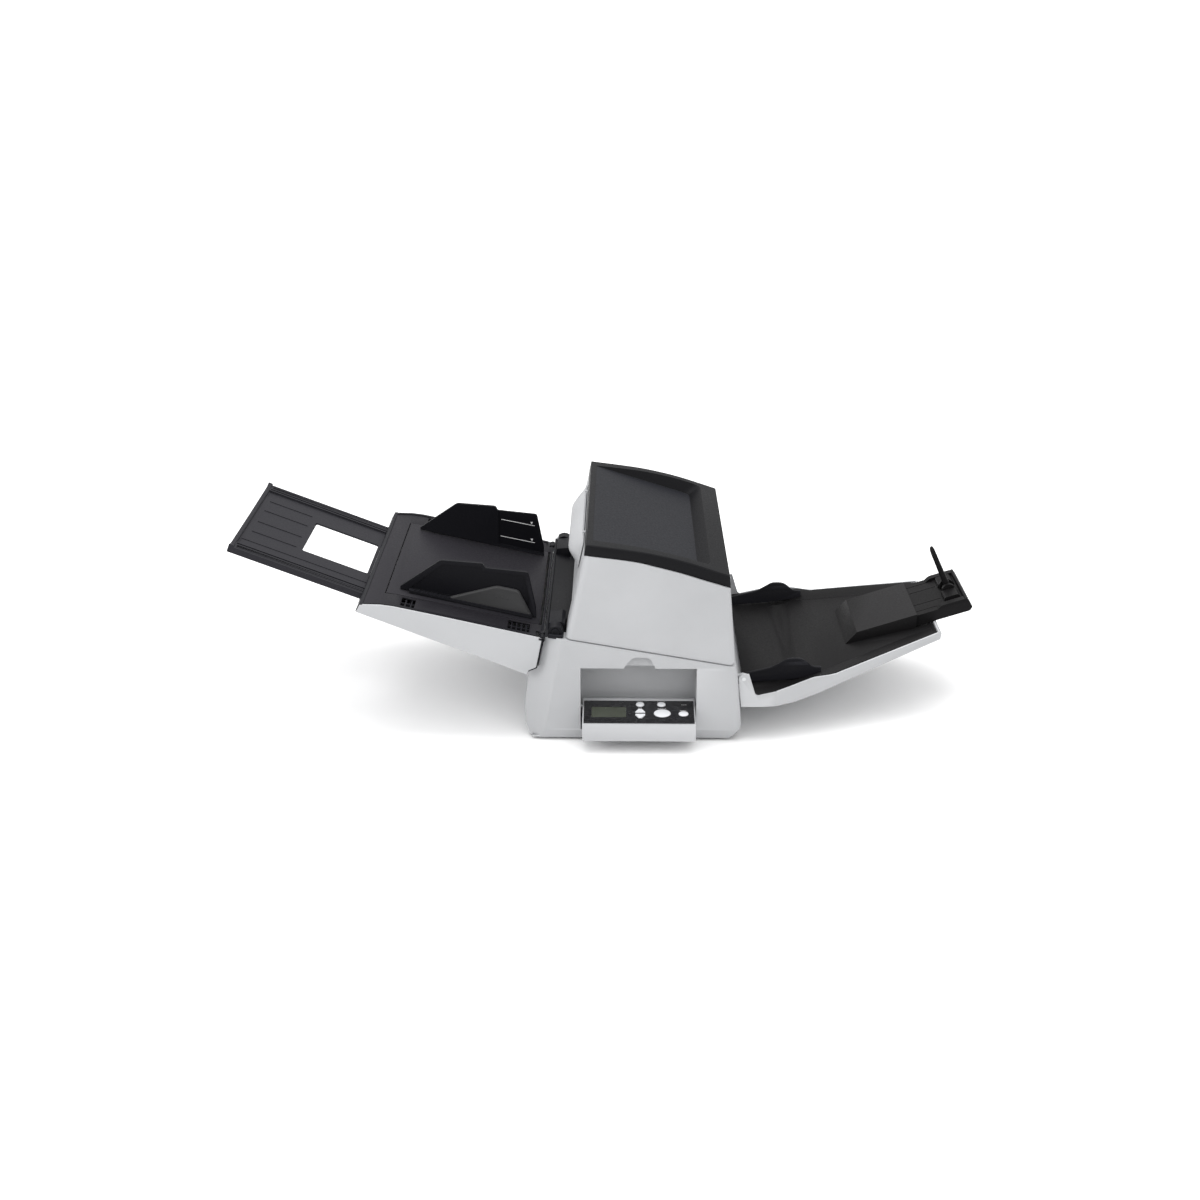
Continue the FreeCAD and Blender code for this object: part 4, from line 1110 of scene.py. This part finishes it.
def paper_stopper():
    """The finger that stands up at the stack's end: thick at its foot, slim at its round tip."""
    turns = [2 * math.pi * n / FINGER_POINTS for n in range(FINGER_POINTS)]
    rings = []
    for up, front, rear, half in FINGER_LEVELS:
        ring = []
        middle, wide = (front + rear) / 2, (rear - front) / 2
        for t in turns:
            a = middle + wide * math.copysign(abs(math.cos(t)) ** FINGER_SQUARE, math.cos(t))
            y = half * math.copysign(abs(math.sin(t)) ** FINGER_SQUARE, math.sin(t))
            ring.append(within(BAR, a, y, up))
        rings.append(ring)
    finger = loft("stopper_finger", rings)
    merge(finger, bar_prism("pin", ellipse(*STOPPER_PIVOT, 2, 2, 24), -13.2, 13.2))
    finish_piece(soften(finger, 0.5, 2, 40), "paper_stopper", *BED, ["paper_stopper"])


# ---- operator panels

FACE_Y, FACE_Z, FACE_TILT = 240.0, 53.5, 8.0
BEZEL_OUTER, BEZEL_INNER = (-72.2, -20.4, -11.8, 16.8), (-68.7, -17.0, -15.3, 13.4)
# the four single keys: middle and half sizes
KEYS = {
    "menu_button": (3.9, 19.8, 6.2, 5.9), "function_button": (35.8, 19.8, 6.2, 5.9),
    "scan_button": (36.7, -4.5, 12.5, 10.4), "stop_button": (68.2, -5.7, 7.3, 6.5),
}
# a key cap's levels: height above the panel's face, and scale
CAP_LEVELS = ((-3.4, 1.0), (0.2, 1.0), (0.8, 0.97), (1.2, 0.88))
# rows of small plain marks beside the keys: middle and width
PRINTED_ROWS = (
    (3.9, 27.3, 9), (35.8, 27.3, 11), (36.7, 8.4, 13), (68.2, 3.2, 10), (3.9, 10.2, 6), (70, 19.5, 8),
)
STROKE_PITCH, STROKE_SHARE, STROKE_HALF = 1.6, 0.55, 0.5


def operator_panel(side, where):
    """Trim on a panel's face: a bezel round the display, domed key caps and small marks."""
    face = tilted(0.0, side * FACE_Y, FACE_Z, "X", -side * FACE_TILT)
    body = "panel_" + where

    def turn(x, y):
        return 2 + (x - 2) * -side, y * -side

    def flat(name, outline, low, high):
        return slab(name, [turn(x, y) for x, y in outline], low, high, face)

    for name, (x, y, wide, tall) in KEYS.items():
        rings = []
        for up, scale in CAP_LEVELS:
            outline = ellipse(x, y, wide * scale, tall * scale, 40)
            rings.append([within(face, *turn(a, b), up) for a, b in outline])
        cap = loft(f"{name}_cap_{where}", rings)
        key = f"{name}_{where}"
        finish_piece(soften(cap, 0.3, 2, 50), key, key_plastic, "keys", [key])
    marks = []
    for x, y, width in PRINTED_ROWS:
        count = max(3, int(width / STROKE_PITCH))
        for n in range(count):
            left = x - width / 2 + n * width / count
            right = left + width / count * STROKE_SHARE
            marks.append(flat("mark", rect(left, y - STROKE_HALF, right, y + STROKE_HALF), -0.02, 0.06))
    finish_piece(joined("panel_marks_" + where, marks), body, mark_paint, "keys")
    bezel = flat("bezel", rounded(rect(*BEZEL_OUTER), 2.5, 3), -0.4, 0.25)
    cut(bezel, flat("opening", rounded(rect(*BEZEL_INNER), 0.8, 2), -2, 2))
    bezel.name = "display_bezel_" + where
    finish_piece(soften(bezel, 0.15, 2), body, panel_gloss, "panel_face")


stacker_shell()
stacker_margins()
stacker_guide(NEAR, "near")
stacker_guide(FAR, "far")
stacker_extension()
paper_stopper()
operator_panel(NEAR, "near")
operator_panel(FAR, "far")

# ---- camera and light

LENS, SENSOR = 52.38, 36.0
CAMERA_AT, CAMERA_DOWN, CAMERA_TURN = (-26.7, -2611.5, 1134.3), 20.846, 0.707
SKY_LOW, SKY_HIGH = 0.30, 1.85
# name, place, target, size and power, in metres and watts
LIGHTS = (
    ("top_light", (0.0, 0.4, 2.6), (0, 0, 0.1), (2.6, 2.0), 40),
    ("left_light", (-2.4, -1.4, 1.5), (0, 0, 0.15), (1.6, 1.2), 26),
    ("front_light", (1.2, -2.6, 1.6), (0, 0, 0.15), (2.0, 1.2), 16),
)


def camera():
    """The view of the photo: from the near side, a little above the machine."""
    data = bpy.data.cameras.new("camera")
    data.sensor_width = SENSOR
    data.lens = LENS
    data.clip_end = 50
    obj = add_object("camera", data)
    obj.location = place(*CAMERA_AT)
    obj.rotation_euler = (math.radians(90 - CAMERA_DOWN), 0, math.radians(CAMERA_TURN))
    bpy.context.scene.camera = obj


def area_light(name, location, target, size, power):
    """A rectangular soft light that faces its target."""
    data = bpy.data.lights.new(name, "AREA")
    data.shape = "RECTANGLE"
    data.size, data.size_y = size
    data.energy = power
    obj = add_object(name, data)
    obj.location = location
    obj.rotation_euler = (Vector(target) - Vector(location)).to_track_quat("-Z", "Y").to_euler()


def studio():
    """A white floor, a sky that brightens upwards, and three soft lights."""
    floor_mesh = bmesh.new()
    bmesh.ops.create_grid(floor_mesh, x_segments=16, y_segments=16, size=60.0)
    floor = to_object("floor", floor_mesh)
    paint = Nodes("floor_paint")
    mottle = paint.ramp(paint.noise(3.0), 0.3, 0.7, 0, 1)
    paint.colour(paint.blend(mottle, (0.86, 0.86, 0.86), (0.89, 0.89, 0.89)))
    paint.roughness(paint.ramp(paint.noise(20.0), 0.3, 0.7, 0.6, 0.75))
    floor.data.materials.append(paint.material)
    world = bpy.data.worlds.new("studio")
    bpy.context.scene.world = world
    world.use_nodes = True
    tree = world.node_tree
    sky = tree.nodes["Background"]
    fill(sky, {"Color": (1, 1, 1, 1)})
    direction = tree.nodes.new("ShaderNodeTexCoord")
    parts = tree.nodes.new("ShaderNodeSeparateXYZ")
    fade = tree.nodes.new("ShaderNodeMapRange")
    fill(fade, {"From Min": 0.0, "From Max": 1.0, "To Min": SKY_LOW, "To Max": SKY_HIGH})
    tree.links.new(direction.outputs["Generated"], parts.inputs["Vector"])
    tree.links.new(parts.outputs["Z"], fade.inputs["Value"])
    tree.links.new(fade.outputs["Result"], sky.inputs["Strength"])
    for light in LIGHTS:
        area_light(*light)


camera()
studio()
bpy.context.scene.view_settings.view_transform = "Standard"
